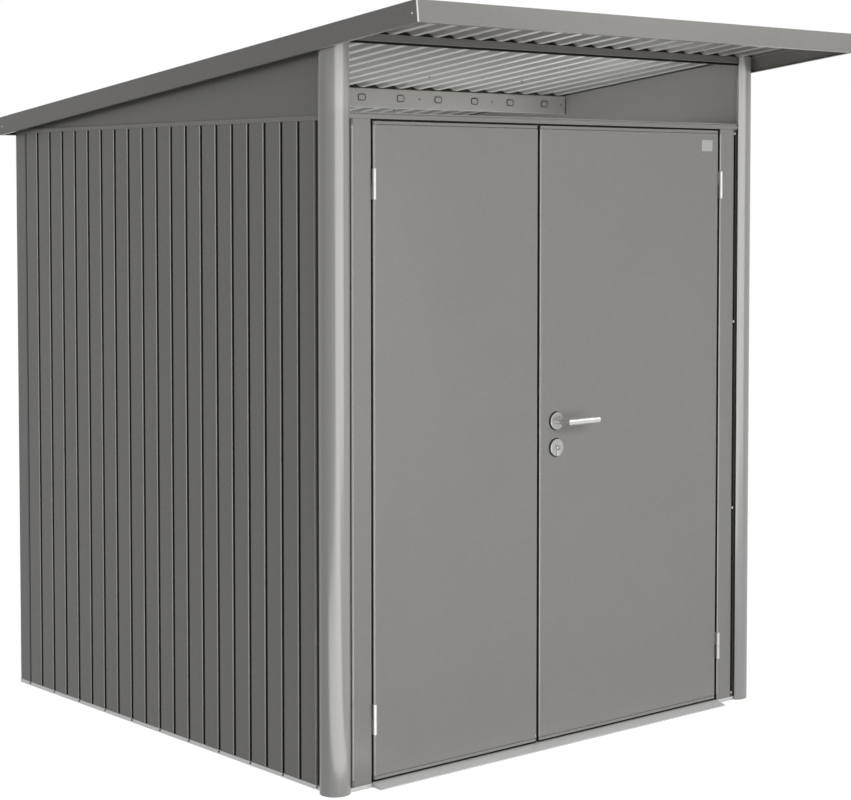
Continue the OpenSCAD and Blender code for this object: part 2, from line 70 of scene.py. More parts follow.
X_AXIS, Y_AXIS, Z_AXIS = range(3)
TO_FRONT, TO_REAR = math.pi / 2, -math.pi / 2
FRONT = Vector((0, -1, 0))

Socket = bpy.types.NodeSocket
Sockets = dict[str, Socket]
Triple = tuple[float, float, float]
Colour = Triple
Point = tuple[float, float]
Term = Union[Socket, float, tuple[float, ...]]

WHITE: Colour = (1.0, 1.0, 1.0)


class Body(Enum):
    """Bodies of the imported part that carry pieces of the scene."""

    SHELL = "shell"
    LEFT_DOOR = "left_door"
    RIGHT_DOOR = "right_door"


class Slot(Enum):
    """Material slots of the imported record."""

    PAINTED_SHEET = "painted_sheet"
    ROOF_SHEET = "roof_sheet"
    BEAM_METAL = "beam_metal"
    POST_METAL = "post_metal"
    ALLOY_PROFILE = "alloy_profile"
    HARDWARE = "hardware"
    LOCK_STEEL = "lock_steel"
    CLEAR_PANE = "clear_pane"


class Side(Enum):
    """Left and right of the shed, as the sign of X."""

    LEFT = -1
    RIGHT = 1


# Shader graphs


def named(sockets: bpy.types.bpy_prop_collection) -> Sockets:
    """Sockets by their names."""
    return {socket.name: socket for socket in sockets}


class Graph:
    """One node tree, with short calls that add nodes and links."""

    mix_share, mix_first, mix_second, mix_result = 0, 6, 7, 2

    def __init__(self, tree: bpy.types.NodeTree) -> None:
        """Take over a node tree."""
        self.tree = tree

    @classmethod
    def fresh(cls, owner: bpy.types.ID) -> "Graph":
        """Start the tree of a material or world from nothing.

        Args:
            owner: The material or world.

        Returns:
            Its empty tree.
        """
        owner.use_nodes = True
        owner.node_tree.nodes.clear()
        return cls(owner.node_tree)

    def feed(self, target: Socket, term: Term) -> None:
        """Link an input, or set it to a constant.

        Args:
            target: The input.
            term: Socket, number, vector or colour. A colour gets its alpha here.
        """
        if isinstance(term, Socket):
            self.tree.links.new(term, target)
        elif isinstance(term, tuple):
            target.default_value = (*term, 1.0)[:len(target.default_value)]
        else:
            target.default_value = term

    def node(self, kind: str, terms: dict | None = None, **settings: object) -> bpy.types.Node:
        """Add one node.

        Args:
            kind: Blender's name for the node type, without the leading ShaderNode.
            terms: Sockets or constants for its inputs, by socket name or number.
            settings: Properties of the node itself.

        Returns:
            The new node.
        """
        made = self.tree.nodes.new("ShaderNode" + kind)
        for key, value in settings.items():
            setattr(made, key, value)
        for key, term in (terms or {}).items():
            self.feed(made.inputs[key], term)
        return made

    def math(self, operation: str, *terms: Term, clamp: bool = False) -> Socket:
        """Result of a Math node over its terms, held between 0 and 1 if clamped."""
        values = dict(enumerate(terms))
        return self.node("Math", values, operation=operation, use_clamp=clamp).outputs[0]

    def mix(self, share: Term, first: Term, second: Term) -> Socket:
        """Mix of two colours, with the share of the second one."""
        values = {self.mix_share: share, self.mix_first: first, self.mix_second: second}
        return self.node("Mix", values, data_type="RGBA").outputs[self.mix_result]

    def ramp(self, value: Socket, low: float, high: float) -> Socket:
        """Value spread so that low becomes 0 and high becomes 1, and clamped."""
        values = {"Value": value, "From Min": low, "From Max": high}
        return self.node("MapRange", values, clamp=True).outputs["Result"]

    def vector(self, operation: str, terms: dict) -> Socket:
        """First result of a Vector Math node."""
        return self.node("VectorMath", terms, operation=operation).outputs[0]

    def part(self, vector: Socket, axis: int) -> Socket:
        """One part of a vector."""
        return self.node("SeparateXYZ", {0: vector}).outputs[axis]

    def spot(self) -> Socket:
        """Place of the shaded point on its object."""
        return self.node("TexCoord").outputs["Object"]

    def noise(self, place: Socket, scale: Term, detail: float, roughness: float = 0.5) -> Socket:
        """Value of a noise at a place."""
        values = {"Vector": place, "Scale": scale, "Detail": detail, "Roughness": roughness}
        return self.node("TexNoise", values).outputs[0]

    def swing(self, value: Socket) -> Socket:
        """Value between 0 and 1, moved to swing about 0."""
        return self.math("SUBTRACT", value, 0.5)

    def bump(self, height: Socket, normal: Socket, strength: float, depth: float) -> Socket:
        """Normal with a relief on top of rounded edges, its depth in metres."""
        values = {"Strength": strength, "Distance": depth, "Height": height, "Normal": normal}
        return self.node("Bump", values).outputs[0]


class SocketKind(Enum):
    """Socket types of a shader group."""

    COLOUR = "NodeSocketColor"
    NUMBER = "NodeSocketFloat"
    VECTOR = "NodeSocketVector"


COLOUR, NUMBER, VECTOR = SocketKind


class Effect:
    """A shader group that several finishes share, built once."""

    name = ""
    takes: dict[str, SocketKind] = {}
    gives: dict[str, SocketKind] = {}

    def group(self) -> bpy.types.NodeTree:
        """Find the group, or build it at its first use.

        Returns:
            The group's node tree.
        """
        found = bpy.data.node_groups.get(self.name)
        if found:
            return found
        tree = bpy.data.node_groups.new(self.name, "ShaderNodeTree")
        for way, labels in (("INPUT", self.takes), ("OUTPUT", self.gives)):
            for label, kind in labels.items():
                tree.interface.new_socket(label, in_out=way, socket_type=kind.value)
        graph = Graph(tree)
        results = self.fill(graph, named(tree.nodes.new("NodeGroupInput").outputs))
        sink = tree.nodes.new("NodeGroupOutput")
        for label, socket in results.items():
            graph.feed(sink.inputs[label], socket)
        return tree

    def fill(self, graph: Graph, given: Sockets) -> Sockets:
        """Add the group's nodes.

        Args:
            graph: The group's tree.
            given: Its inputs, by name.

        Returns:
            Its outputs, by name.
        """
        raise NotImplementedError

    def place(self, graph: Graph, terms: dict[str, Term]) -> Sockets:
        """Set the group into a material and get its outputs, by name."""
        return named(graph.node("Group", terms, node_tree=self.group()).outputs)


class CoatGrain(Effect):
    """Fine metallic flakes and a faint orange peel in a sprayed coat."""

    name = "coat grain"
    takes = {"Colour": COLOUR, "Roughness": NUMBER, "Flake Scale": NUMBER, "Flake Depth": NUMBER,
             "Mottle Depth": NUMBER}
    gives = {"Colour": COLOUR, "Roughness": NUMBER, "Height": NUMBER}
    mottle_scale, mottle_detail, mottle_roughness = 2.3, 4.0, 0.6
    peel_share, peel_detail, peel_roughness = 0.35, 3.0, 0.55
    gloss_spread = 0.12

    def fill(self, graph: Graph, given: Sockets) -> Sockets:
        """Add flakes, peel and a slow mottle.

        Args:
            graph: The group's tree.
            given: Its inputs, by name.

        Returns:
            Its outputs, by name.
        """
        place = graph.spot()
        flakes = graph.node("TexVoronoi", {"Vector": place, "Scale": given["Flake Scale"]})
        spark = graph.node("SeparateColor", {0: flakes.outputs["Color"]}).outputs[0]
        peel_scale = graph.math("MULTIPLY", given["Flake Scale"], self.peel_share)
        peel = graph.noise(place, peel_scale, self.peel_detail, self.peel_roughness)
        mottle = graph.noise(
            place, self.mottle_scale, self.mottle_detail, self.mottle_roughness)
        flake, slow = graph.swing(spark), graph.swing(mottle)
        lift = graph.math("MULTIPLY", flake, given["Flake Depth"])
        lift = graph.math("MULTIPLY_ADD", slow, given["Mottle Depth"], lift)
        bright = graph.math("ADD", lift, 1.0)
        rough = graph.math("MULTIPLY_ADD", flake, self.gloss_spread, given["Roughness"])
        return {
            "Colour": graph.vector("SCALE", {0: given["Colour"], "Scale": bright}),
            "Roughness": graph.math("MULTIPLY_ADD", slow, self.gloss_spread, rough),
            "Height": graph.math("MULTIPLY_ADD", flake, self.peel_share, peel),
        }


class EdgeRubAndSheen(Effect):
    """Softly rounded edges and the light line on them, partly handling wear and partly a painted
    highlight.
    """

    name = "edge rub and sheen"
    takes = {"Radius": NUMBER, "Patchiness": NUMBER}
    gives = {"Mask": NUMBER, "Normal": VECTOR}
    rays = 4
    patch_scale, patch_detail = 21.0, 5.0
    low_turn, high_turn = 0.01, 0.09

    def fill(self, graph: Graph, given: Sockets) -> Sockets:
        """Compare the rounded normal with the plain one.

        Args:
            graph: The group's tree.
            given: Its inputs, by name.

        Returns:
            Its outputs, by name.
        """
        rounded = graph.node("Bevel", {"Radius": given["Radius"]}, samples=self.rays).outputs[0]
        plain = graph.node("NewGeometry").outputs["Normal"]
        dot = graph.node("VectorMath", {0: rounded, 1: plain}, operation="DOT_PRODUCT")
        turn = graph.math("SUBTRACT", 1.0, dot.outputs["Value"])
        edge = graph.ramp(turn, self.low_turn, self.high_turn)
        patch = graph.noise(graph.spot(), self.patch_scale, self.patch_detail)
        keep = graph.math("MULTIPLY", patch, given["Patchiness"])
        return {"Mask": graph.math("SUBTRACT", edge, keep, clamp=True), "Normal": rounded}


class BrushLines(Effect):
    """Long fine lines of brushed, drawn or extruded metal."""

    name = "brush lines"
    takes = {"Colour": COLOUR, "Roughness": NUMBER, "Stretch": VECTOR, "Depth": NUMBER}
    gives = {"Colour": COLOUR, "Roughness": NUMBER, "Height": NUMBER}
    fine_scale, fine_detail, fine_roughness = 1.0, 6.0, 0.7
    broad_scale, broad_detail = 0.18, 3.0
    gloss_spread = 0.25

    def fill(self, graph: Graph, given: Sockets) -> Sockets:
        """Stretch two noises along the grain.

        Args:
            graph: The group's tree.
            given: Its inputs, by name.

        Returns:
            Its outputs, by name.
        """
        place = graph.vector("MULTIPLY", {0: graph.spot(), 1: given["Stretch"]})
        fine = graph.noise(place, self.fine_scale, self.fine_detail, self.fine_roughness)
        broad = graph.noise(place, self.broad_scale, self.broad_detail)
        lines = graph.math("ADD", graph.swing(fine), graph.swing(broad))
        bright = graph.math("MULTIPLY_ADD", lines, given["Depth"], 1.0)
        return {
            "Colour": graph.vector("SCALE", {0: given["Colour"], "Scale": bright}),
            "Roughness": graph.math("MULTIPLY_ADD", lines, self.gloss_spread, given["Roughness"]),
            "Height": lines,
        }


class SettledDust(Effect):
    """Pale dust near the ground and on faces that look up."""

    name = "settled dust"
    takes = {"Colour": COLOUR, "Dust": COLOUR, "Amount": NUMBER}
    gives = {"Colour": COLOUR, "Mask": NUMBER}
    splash_top = 0.22
    cloud_scale, cloud_detail, cloud_roughness = 9.0, 6.0, 0.65
    ledge_low, ledge_high, ledge_share = 0.55, 0.95, 0.6

    def fill(self, graph: Graph, given: Sockets) -> Sockets:
        """Mask the splash zone and the ledges, broken up by a cloud.

        Args:
            graph: The group's tree.
            given: Its inputs, by name.

        Returns:
            Its outputs, by name.
        """
        place = graph.spot()
        splash = graph.ramp(graph.part(place, Z_AXIS), self.splash_top, 0.0)
        upward = graph.part(graph.node("NewGeometry").outputs["Normal"], Z_AXIS)
        ledge = graph.ramp(upward, self.ledge_low, self.ledge_high)
        cloud = graph.noise(place, self.cloud_scale, self.cloud_detail, self.cloud_roughness)
        lies = graph.math("MULTIPLY_ADD", ledge, self.ledge_share, splash, clamp=True)
        lies = graph.math("MULTIPLY", lies, cloud)
        lies = graph.math("MULTIPLY", lies, given["Amount"], clamp=True)
        return {"Colour": graph.mix(lies, given["Colour"], given["Dust"]), "Mask": lies}


# Finishes


@dataclass(frozen=True)
class Finish:
    """A material that is built once and then shared."""

    name: str

    def material(self) -> bpy.types.Material:
        """Find the material, or build it at its first use.

        Returns:
            The Blender material.
        """
        found = bpy.data.materials.get(self.name)
        if found:
            return found
        made = bpy.data.materials.new(self.name)
        graph = Graph.fresh(made)
        graph.node("OutputMaterial", {"Surface": self.shader(graph)})
        return made

    def shader(self, graph: Graph) -> Socket:
        """Add the finish's nodes.

        Args:
            graph: The material's tree.

        Returns:
            The shader's socket.
        """
        raise NotImplementedError


@dataclass(frozen=True, kw_only=True)
class MetalFinish(Finish):
    """Metal whose edges are lighter, partly from rubbing and partly from a painted highlight, and
    whose ledges hold a little dust.
    """

    colour: Colour
    roughness: float = 0.28
    metallic: float = 0.0
    index: float = 1.45
    edge_radius: float = 3.0 * MM
    # edge_lift and edge_colour lighten the edges: handling wear and a painted highlight
    edge_lift: float = 0.45
    edge_colour: Colour = (0.62, 0.61, 0.58)
    patchiness: float = 0.25
    dust: Colour = (0.42, 0.40, 0.37)
    dust_amount: float = 0.10
    dust_dulls: float = 0.4
    relief: float = 0.12
    relief_depth: float = 0.25 * MM

    def grain(self, graph: Graph, normal: Socket) -> Sockets:
        """Add the metal's own grain.

        Args:
            graph: The material's tree.
            normal: The normal with rounded edges.

        Returns:
            Sockets of its colour, roughness and height, by name.
        """
        raise NotImplementedError

    def shader(self, graph: Graph) -> Socket:
        """Grain, edges lightened by rubbing and a painted highlight, and a little dust.

        Args:
            graph: The material's tree.

        Returns:
            The shader's socket.
        """
        edge = EdgeRubAndSheen().place(graph, {
            "Radius": self.edge_radius, "Patchiness": self.patchiness})
        grain = self.grain(graph, edge["Normal"])
        # Edge lightening, part wear and part painted highlight
        rub = graph.math("MULTIPLY", edge["Mask"], self.edge_lift)
        dusty = SettledDust().place(graph, {
            "Colour": graph.mix(rub, grain["Colour"], self.edge_colour),
            "Dust": self.dust, "Amount": self.dust_amount,
        })
        return graph.node("BsdfPrincipled", {
            "Base Color": dusty["Colour"], "Metallic": self.metallic, "IOR": self.index,
            "Roughness": graph.math(
                "MULTIPLY_ADD", dusty["Mask"], self.dust_dulls, grain["Roughness"]),
            "Normal": graph.bump(
                grain["Height"], edge["Normal"], self.relief, self.relief_depth),
        }).outputs[0]


@dataclass(frozen=True, kw_only=True)
class CoatedSheet(MetalFinish):
    """Satin metallic coat on folded sheet steel, with its own colour below if it has one, and
    painted shade on the sloping flanks below.
    """

    underside: Colour | None = None
    # Share of the underside colour that its sloping flanks keep: painted shade
    flank_share: float = 1.0
    below_turn: float = -0.3
    flank_low: float = 0.2
    flank_high: float = 0.5
    flake_scale: float = 1400.0
    flake_depth: float = 0.14
    mottle_depth: float = 0.06

    def grain(self, graph: Graph, normal: Socket) -> Sockets:
        """Coat and flakes, with the underside's colour and painted shade on its sloping flanks.

        Args:
            graph: The material's tree.
            normal: The normal with rounded edges.

        Returns:
            Sockets of its colour, roughness and height, by name.
        """
        upward = graph.part(graph.node("NewGeometry").outputs["True Normal"], Z_AXIS)
        below = graph.ramp(upward, 0.0, self.below_turn)
        # Painted shade: the sloping flanks under the sheet are darkened
        sideways = graph.math("ABSOLUTE", graph.part(normal, X_AXIS))
        tilt = graph.ramp(sideways, self.flank_low, self.flank_high)
        underside = self.underside or self.colour
        flank = tuple(part * self.flank_share for part in underside)
        return CoatGrain().place(graph, {
            "Colour": graph.mix(below, self.colour, graph.mix(tilt, underside, flank)),
            "Roughness": self.roughness, "Flake Scale": self.flake_scale,
            "Flake Depth": self.flake_depth, "Mottle Depth": self.mottle_depth,
        })


@dataclass(frozen=True, kw_only=True)
class DrawnMetal(MetalFinish):
    """Brushed, drawn or extruded metal, bare or with a thin coat."""

    stretch: Triple
    line_depth: float = 0.16
    metallic: float = 1.0
    index: float = 1.5
    edge_radius: float = 0.5 * MM
    edge_lift: float = 0.35
    edge_colour: Colour = (0.85, 0.85, 0.84)
    patchiness: float = 0.3
    dust: Colour = (0.45, 0.43, 0.40)
    dust_amount: float = 0.12
    relief: float = 0.1
    relief_depth: float = 0.1 * MM

    def grain(self, graph: Graph, normal: Socket) -> Sockets:
        """Grain lines, for which the normal isn't needed."""
        return BrushLines().place(graph, {
            "Colour": self.colour, "Roughness": self.roughness, "Stretch": self.stretch,
            "Depth": self.line_depth,
        })


@dataclass(frozen=True)
class ClearSheet(Finish):
    """Clear acrylic sheet that lets the studio light through."""

    tint: Colour = (0.97, 0.985, 0.98)
    roughness: float = 0.02
    index: float = 1.12
    haze_scale: float = 6.0
    haze_detail: float = 5.0
    haze_spread: float = 0.05

    def shader(self, graph: Graph) -> Socket:
        """Clear sheet for the eye, and nothing for shadow and bounce rays.

        Args:
            graph: The material's tree.

        Returns:
            The shader's socket.
        """
        haze = graph.noise(graph.spot(), self.haze_scale, self.haze_detail)
        sheet = graph.node("BsdfPrincipled", {
            "Base Color": self.tint, "IOR": self.index, "Transmission Weight": 1.0,
            "Roughness": graph.math("MULTIPLY_ADD", haze, self.haze_spread, self.roughness),
        }).outputs[0]
        passing = graph.node("BsdfTransparent").outputs[0]
        path = graph.node("LightPath").outputs
        share = graph.math("ADD", path["Is Shadow Ray"], path["Is Diffuse Ray"], clamp=True)
        return graph.node("MixShader", {0: share, 1: sheet, 2: passing}).outputs[0]


@dataclass(frozen=True)
class DullBlack(Finish):
    """Black rubber with a dull skin, also used for black pieces that paint shade."""

    colour: Colour = (0.008, 0.008, 0.008)
    roughness: float = 0.75
    index: float = 1.4
    gloss: float = 0.12
    pore_scale: float = 350.0
    pore_depth: float = 0.3
    mottle_depth: float = 0.4
    edge_radius: float = 0.4 * MM
    relief: float = 0.2
    relief_depth: float = 0.2 * MM

    def shader(self, graph: Graph) -> Socket:
        """Dark skin with fine pores.

        Args:
            graph: The material's tree.

        Returns:
            The shader's socket.
        """
        grain = CoatGrain().place(graph, {
            "Colour": self.colour, "Roughness": self.roughness, "Flake Scale": self.pore_scale,
            "Flake Depth": self.pore_depth, "Mottle Depth": self.mottle_depth,
        })
        edge = EdgeRubAndSheen().place(graph, {"Radius": self.edge_radius})
        return graph.node("BsdfPrincipled", {
            "Base Color": grain["Colour"], "Roughness": grain["Roughness"],
            "IOR": self.index, "Specular IOR Level": self.gloss,
            "Normal": graph.bump(
                grain["Height"], edge["Normal"], self.relief, self.relief_depth),
        }).outputs[0]


WALL_COAT = CoatedSheet("wall_coat", colour=(0.232, 0.225, 0.210))
# Lighter underside: a primer coat, set lighter still to stand in for light from below; flank_share
# paints shade on the flanks below
ROOF_COAT = CoatedSheet(
    "roof_coat", colour=(0.235, 0.228, 0.213), underside=(0.365, 0.357, 0.341), roughness=0.45,
    edge_radius=6.0 * MM, edge_lift=0.1, flank_share=0.38)
BEAM_COAT = CoatedSheet("beam_coat", colour=(0.232, 0.225, 0.210), roughness=0.5)
# Darker copy of the beam coat for the front beam: painted shade under the overhang
SHADED_BEAM_COAT = CoatedSheet("dark_beam_coat", colour=(0.102, 0.099, 0.093), roughness=0.5)
CAP_COAT = CoatedSheet("cap_coat", colour=(0.30, 0.292, 0.275))
# Light colour of the lines that paint highlights on the leaf and panel bevels
BEVEL_HIGHLIGHT_COAT = CoatedSheet("rubbed_coat", colour=(0.50, 0.49, 0.47), edge_radius=0.5 * MM)
# Light colour of the strips that paint highlights on the wall edges
WALL_EDGE_HIGHLIGHT = CoatedSheet("bright_edge", colour=(0.66, 0.65, 0.63), edge_radius=0.5 * MM)
POST_COAT = DrawnMetal(
    "post_coat", colour=(0.25, 0.245, 0.233), stretch=(700.0, 700.0, 4.0), roughness=0.2,
    metallic=0.0, line_depth=0.05, edge_lift=0.15, index=1.9, relief=0.04)
BARE_ALLOY = DrawnMetal(
    "bare_alloy", colour=(0.55, 0.555, 0.55), stretch=(260.0, 260.0, 900.0), roughness=0.42,
    metallic=0.7)
SILL_ALLOY = DrawnMetal(
    "sill_alloy", colour=(0.70, 0.705, 0.70), stretch=(4.0, 260.0, 260.0), roughness=0.4,
    metallic=0.3)
SATIN_STEEL = DrawnMetal(
    "satin_steel", colour=(0.52, 0.515, 0.505), stretch=(500.0, 900.0, 60.0), roughness=0.24,
    line_depth=0.08, dust_amount=0.03, relief=0.05)
LEVER_STEEL = DrawnMetal(
    "lever_steel", colour=(0.60, 0.596, 0.585), stretch=(60.0, 900.0, 500.0), roughness=0.26,
    metallic=0.6, line_depth=0.08, dust_amount=0.03, relief=0.05)
ROSE_STEEL = DrawnMetal(
    "rose_steel", colour=(0.39, 0.388, 0.38), stretch=(500.0, 900.0, 60.0), roughness=0.3,
    metallic=0.8, line_depth=0.08, dust_amount=0.03, relief=0.05)
HINGE_STEEL = DrawnMetal(
    "hinge_steel", colour=(0.50, 0.495, 0.485), stretch=(500.0, 500.0, 60.0), roughness=0.42,
    metallic=0.8, line_depth=0.08, dust_amount=0.03)
ZINC_PLATE = DrawnMetal(
    "zinc_plate", colour=(0.42, 0.42, 0.41), stretch=(90.0, 90.0, 90.0), roughness=0.45,
    line_depth=0.3)
# Dark steel of the bolts and screws, also used for marks that paint shade in the keyways
DARK_BOLT_AND_SHADE = DrawnMetal(
    "dark_bolt", colour=(0.05, 0.05, 0.05), stretch=(300.0, 300.0, 300.0), roughness=0.5,
    dust_amount=0.05)
PLATE_ALLOY = DrawnMetal(
    "plate_alloy", colour=(0.385, 0.385, 0.38), stretch=(1200.0, 200.0, 40.0), roughness=0.42,
    metallic=0.5, line_depth=0.08)
PANE = ClearSheet("clear_pane_sheet")
# Black of the seals, and of the pieces that paint shade in gaps, grooves and rings
SEAL_AND_SHADE_BLACK = DullBlack("seal_and_shade_black")

NODE_FINISH: dict[Slot, Finish] = {
    Slot.PAINTED_SHEET: WALL_COAT,
    Slot.ROOF_SHEET: ROOF_COAT,
    Slot.BEAM_METAL: BEAM_COAT,
    Slot.POST_METAL: POST_COAT,
    Slot.ALLOY_PROFILE: BARE_ALLOY,
    Slot.HARDWARE: SATIN_STEEL,
    Slot.LOCK_STEEL: ZINC_PLATE,
    Slot.CLEAR_PANE: PANE,
}
OWN_FINISH: dict[str, Finish] = {
    "front_roof_beam": SHADED_BEAM_COAT, "door_sill": SILL_ALLOY,
    "frame_hinges_left": HINGE_STEEL, "frame_hinges_right": HINGE_STEEL,
    "door_left_hinges": HINGE_STEEL, "door_right_hinges": HINGE_STEEL,
    "handle_roses": ROSE_STEEL, "key_roses": ROSE_STEEL, "lever_handle": LEVER_STEEL,
    "left_wall_cap": CAP_COAT, "right_wall_cap": CAP_COAT, "rear_wall_cap": CAP_COAT,
}


# Mesh stock


def rounded_outline(width: float, height: float, radius: float, steps: int = 4) -> list[Point]:
    """Outline of a rectangle with round corners, about its middle.

    Args:
        width: Size along the first axis.
        height: Size along the second axis.
        radius: Radius of the corners.
        steps: Straight pieces in each corner.

    Returns:
        The outline's points, counter-clockwise.
    """
    points = []
    for turn, (u, v) in enumerate(((1, 1), (-1, 1), (-1, -1), (1, -1))):
        for step in range(steps + 1):
            angle = (turn + step / steps) * math.pi / 2
            points.append((u * (width / 2 - radius) + radius * math.cos(angle),
                           v * (height / 2 - radius) + radius * math.sin(angle)))
    return points


def ring(radius: float, steps: int) -> list[Point]:
    """Round outline, with the steps of each quarter."""
    return rounded_outline(2 * radius, 2 * radius, radius, steps)


def scaled(shares: Sequence[Point], first: float, second: float) -> list[Point]:
    """Points of a shape that is given in shares of two sizes."""
    return [(u * first, v * second) for u, v in shares]


def mirrored(section: Sequence[Point], side: Side) -> list[Point]:
    """Section in X and Y, drawn for the right side and turned to a side."""
    return [(side.value * x, y) for x, y in section]


def facing(direction: Vector, at: Sequence[float]) -> Matrix:
    """Place whose Z looks along a direction."""
    return Matrix.Translation(at) @ direction.to_track_quat("Z", "Y").to_matrix().to_4x4()


def on_face(at: Sequence[float], turn: float = TO_FRONT) -> Matrix:
    """Place on an upright face, whose Z looks to the front or the rear."""
    return Matrix.Translation(at) @ Matrix.Rotation(turn, 4, "X")


def add_object(name: str, data: bpy.types.ID) -> bpy.types.Object:
    """Set a new object into the scene.

    Args:
        name: Name of the object.
        data: Its mesh, light or camera.

    Returns:
        The new object.
    """
    made = bpy.data.objects.new(name, data)
    bpy.context.scene.collection.objects.link(made)
    return made


class Stock:
    """Metal, rubber or plastic stock that one piece is made from."""

    def __init__(self) -> None:
        """Start with an empty mesh."""
        self.mesh = bmesh.new()

    def loops(self, rings: Sequence[Sequence[Vector]], closed_ends: bool = True) -> None:
        """Skin a stack of point rings.

        Args:
            rings: Rings with equal numbers of points.
            closed_ends: Whether the first and last ring get a face.
        """
        made = [[self.mesh.verts.new(p) for p in points] for points in rings]
        count = len(made[0])
        for low, high in zip(made, made[1:]):
            for i in range(count):
                j = (i + 1) % count
                self.mesh.faces.new((low[i], low[j], high[j], high[i]))
        if closed_ends:
            self.mesh.faces.new(list(reversed(made[0])))
            self.mesh.faces.new(made[-1])

    def rolled(self, section: Sequence[Point], place: Matrix, length: float) -> None:
        """Run a section in the place's X and Y along its Z."""
        self.loops([[place @ Vector((u, v, z)) for u, v in section] for z in (0.0, length)])

    def upright(self, section: Sequence[Point], low: float, high: float) -> None:
        """Run a section in X and Y between two heights."""
        self.rolled(section, Matrix.Translation((0, 0, low)), high - low)

    def across(self, section: Sequence[Point], left: float, right: float) -> None:
        """Run a section in Y and Z between two places in X."""
        place = Matrix(((0, 0, 1, left), (1, 0, 0, 0), (0, 1, 0, 0), (0, 0, 0, 1)))
        self.rolled(section, place, right - left)

    def turned(self, profile: Sequence[Point], place: Matrix, sides: int) -> None:
        """Turn a profile about Z.

        Args:
            profile: Radius and height of each ring, from the top to the foot.
            place: Where the turned piece sits.
            sides: Sides of each ring.
        """
        angles = [2 * math.pi * i / sides for i in range(sides)]
        self.loops([[place @ Vector((r * math.cos(a), -r * math.sin(a), h)) for a in angles]
                    for r, h in profile])

    def plate(self, outline: Sequence[Point], place: Matrix, thick: float, bevel: float) -> None:
        """Flat plate with a bevelled front edge.

        Args:
            outline: Points of the plate in the place's X and Y, about its middle.
            place: Where the plate's back sits.
            thick: Thickness of the plate.
            bevel: Height of the bevel.
        """
        inset = 1.0 - bevel / max(max(abs(u), abs(v)) for u, v in outline)
        levels = ((1.0, 0.0), (1.0, thick - bevel), (inset, thick))
        self.loops([[place @ Vector((u * share, v * share, z)) for u, v in outline]
                    for share, z in levels])

    def collar(self, outer: Sequence[Point], inner: Sequence[Point], place: Matrix,
               thick: float) -> None:
        """Flat ring between two outlines.

        Args:
            outer: Outer outline in the place's X and Y.
            inner: Inner outline with as many points.
            place: Where the ring's back sits.
            thick: Thickness of the ring.
        """
        levels = ((outer, 0.0), (outer, thick), (inner, thick), (inner, 0.0), (outer, 0.0))
        self.loops([[place @ Vector((u, v, z)) for u, v in outline] for outline, z in levels],
                   closed_ends=False)

    def piece(self, name: str, finish: Finish, slot: Slot | None = None,
              body: Body = Body.SHELL) -> None:
        """Turn the stock into a piece that rides on a body.

        Args:
            name: Name of the piece.
            finish: Its finish.
            slot: The record's slot that its finish goes with, if it has one; not used.
            body: The body that carries it.
        """
        bmesh.ops.remove_doubles(self.mesh, verts=self.mesh.verts, dist=WELD_DISTANCE)
        bmesh.ops.recalc_face_normals(self.mesh, faces=self.mesh.faces)
        data = bpy.data.meshes.new(name)
        self.mesh.to_mesh(data)
        self.mesh.free()
        data.shade_smooth()
        data.set_sharp_from_angle(angle=SMOOTH_ANGLE)
        data.materials.append(finish.material())
        made = add_object(name, data)
        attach(made, body.value)
        LOG.info("%s: %d faces on %s", name, len(data.polygons), body.value)


@dataclass(frozen=True)
class ScrewHead:
    """Domed screw head with a round recess, shaped in shares of its radius and height."""

    radius: float
    height: float
    washer: float = 0.0
    recess_share: float = 0.38
    recess: tuple[Point, ...] = ((0.2, 0.35), (0.85, 0.35), (1.0, 1.0))
    dome: tuple[Point, ...] = ((0.72, 0.86), (0.94, 0.5), (1.0, 0.2))
    washer_top: float = 0.16
    washer_rim: float = 0.12
    foot_share: float = 0.2
    sides: int = 14

    def profile(self) -> list[Point]:
        """Rings of the head, from the bottom of its recess to its foot.

        Returns:
            Radius and height of each ring.
        """
        r, h = self.radius, self.height
        rings = scaled(self.recess, r * self.recess_share, h) + scaled(self.dome, r, h)
        if self.washer:
            rings += [(r, h * self.washer_top), (self.washer, h * self.washer_rim)]
            r = self.washer
        return rings + [(r, 0.0), (r * self.foot_share, 0.0)]

    def drive_in(self, stock: Stock, at: Sequence[float], direction: Vector) -> None:
        """Add one head to a piece of stock, with its foot at a place."""
        stock.turned(self.profile(), facing(direction, at), self.sides)


@dataclass(frozen=True)
class SealAndShadeStrip:
    """Door seal: a foot on one side of a gap and a rounded lip towards the other, set close to the
    face so that its black also paints the shade in the gap.
    """

    setback: float = 0.8 * MM
    width: float = 5.6 * MM
    depth: float = 6 * MM
    shape: tuple[Point, ...] = ((0.0, 0.0), (0.6, 0.0), (0.9, 0.15), (1.0, 0.4), (1.0, 0.6),
                                (0.9, 0.85), (0.6, 1.0), (0.0, 1.0))

    def section(self, foot: float, way: float, front: float) -> list[Point]:
        """Section of the seal.

        Args:
            foot: Place of the foot, across the gap.
            way: Direction of the lip, as a sign or a share of the full width.
            front: The front face in Y.

        Returns:
            Points across the gap and in Y.
        """
        points = scaled(self.shape, way * self.width, self.depth)
        return [(foot + u, front + self.setback + v) for u, v in points]

    def level_section(self, foot: float, front: float) -> list[Point]:
        """Section of a seal that hangs under an edge, in Y and Z."""
        return [(y, z) for z, y in self.section(foot, -1, front)]


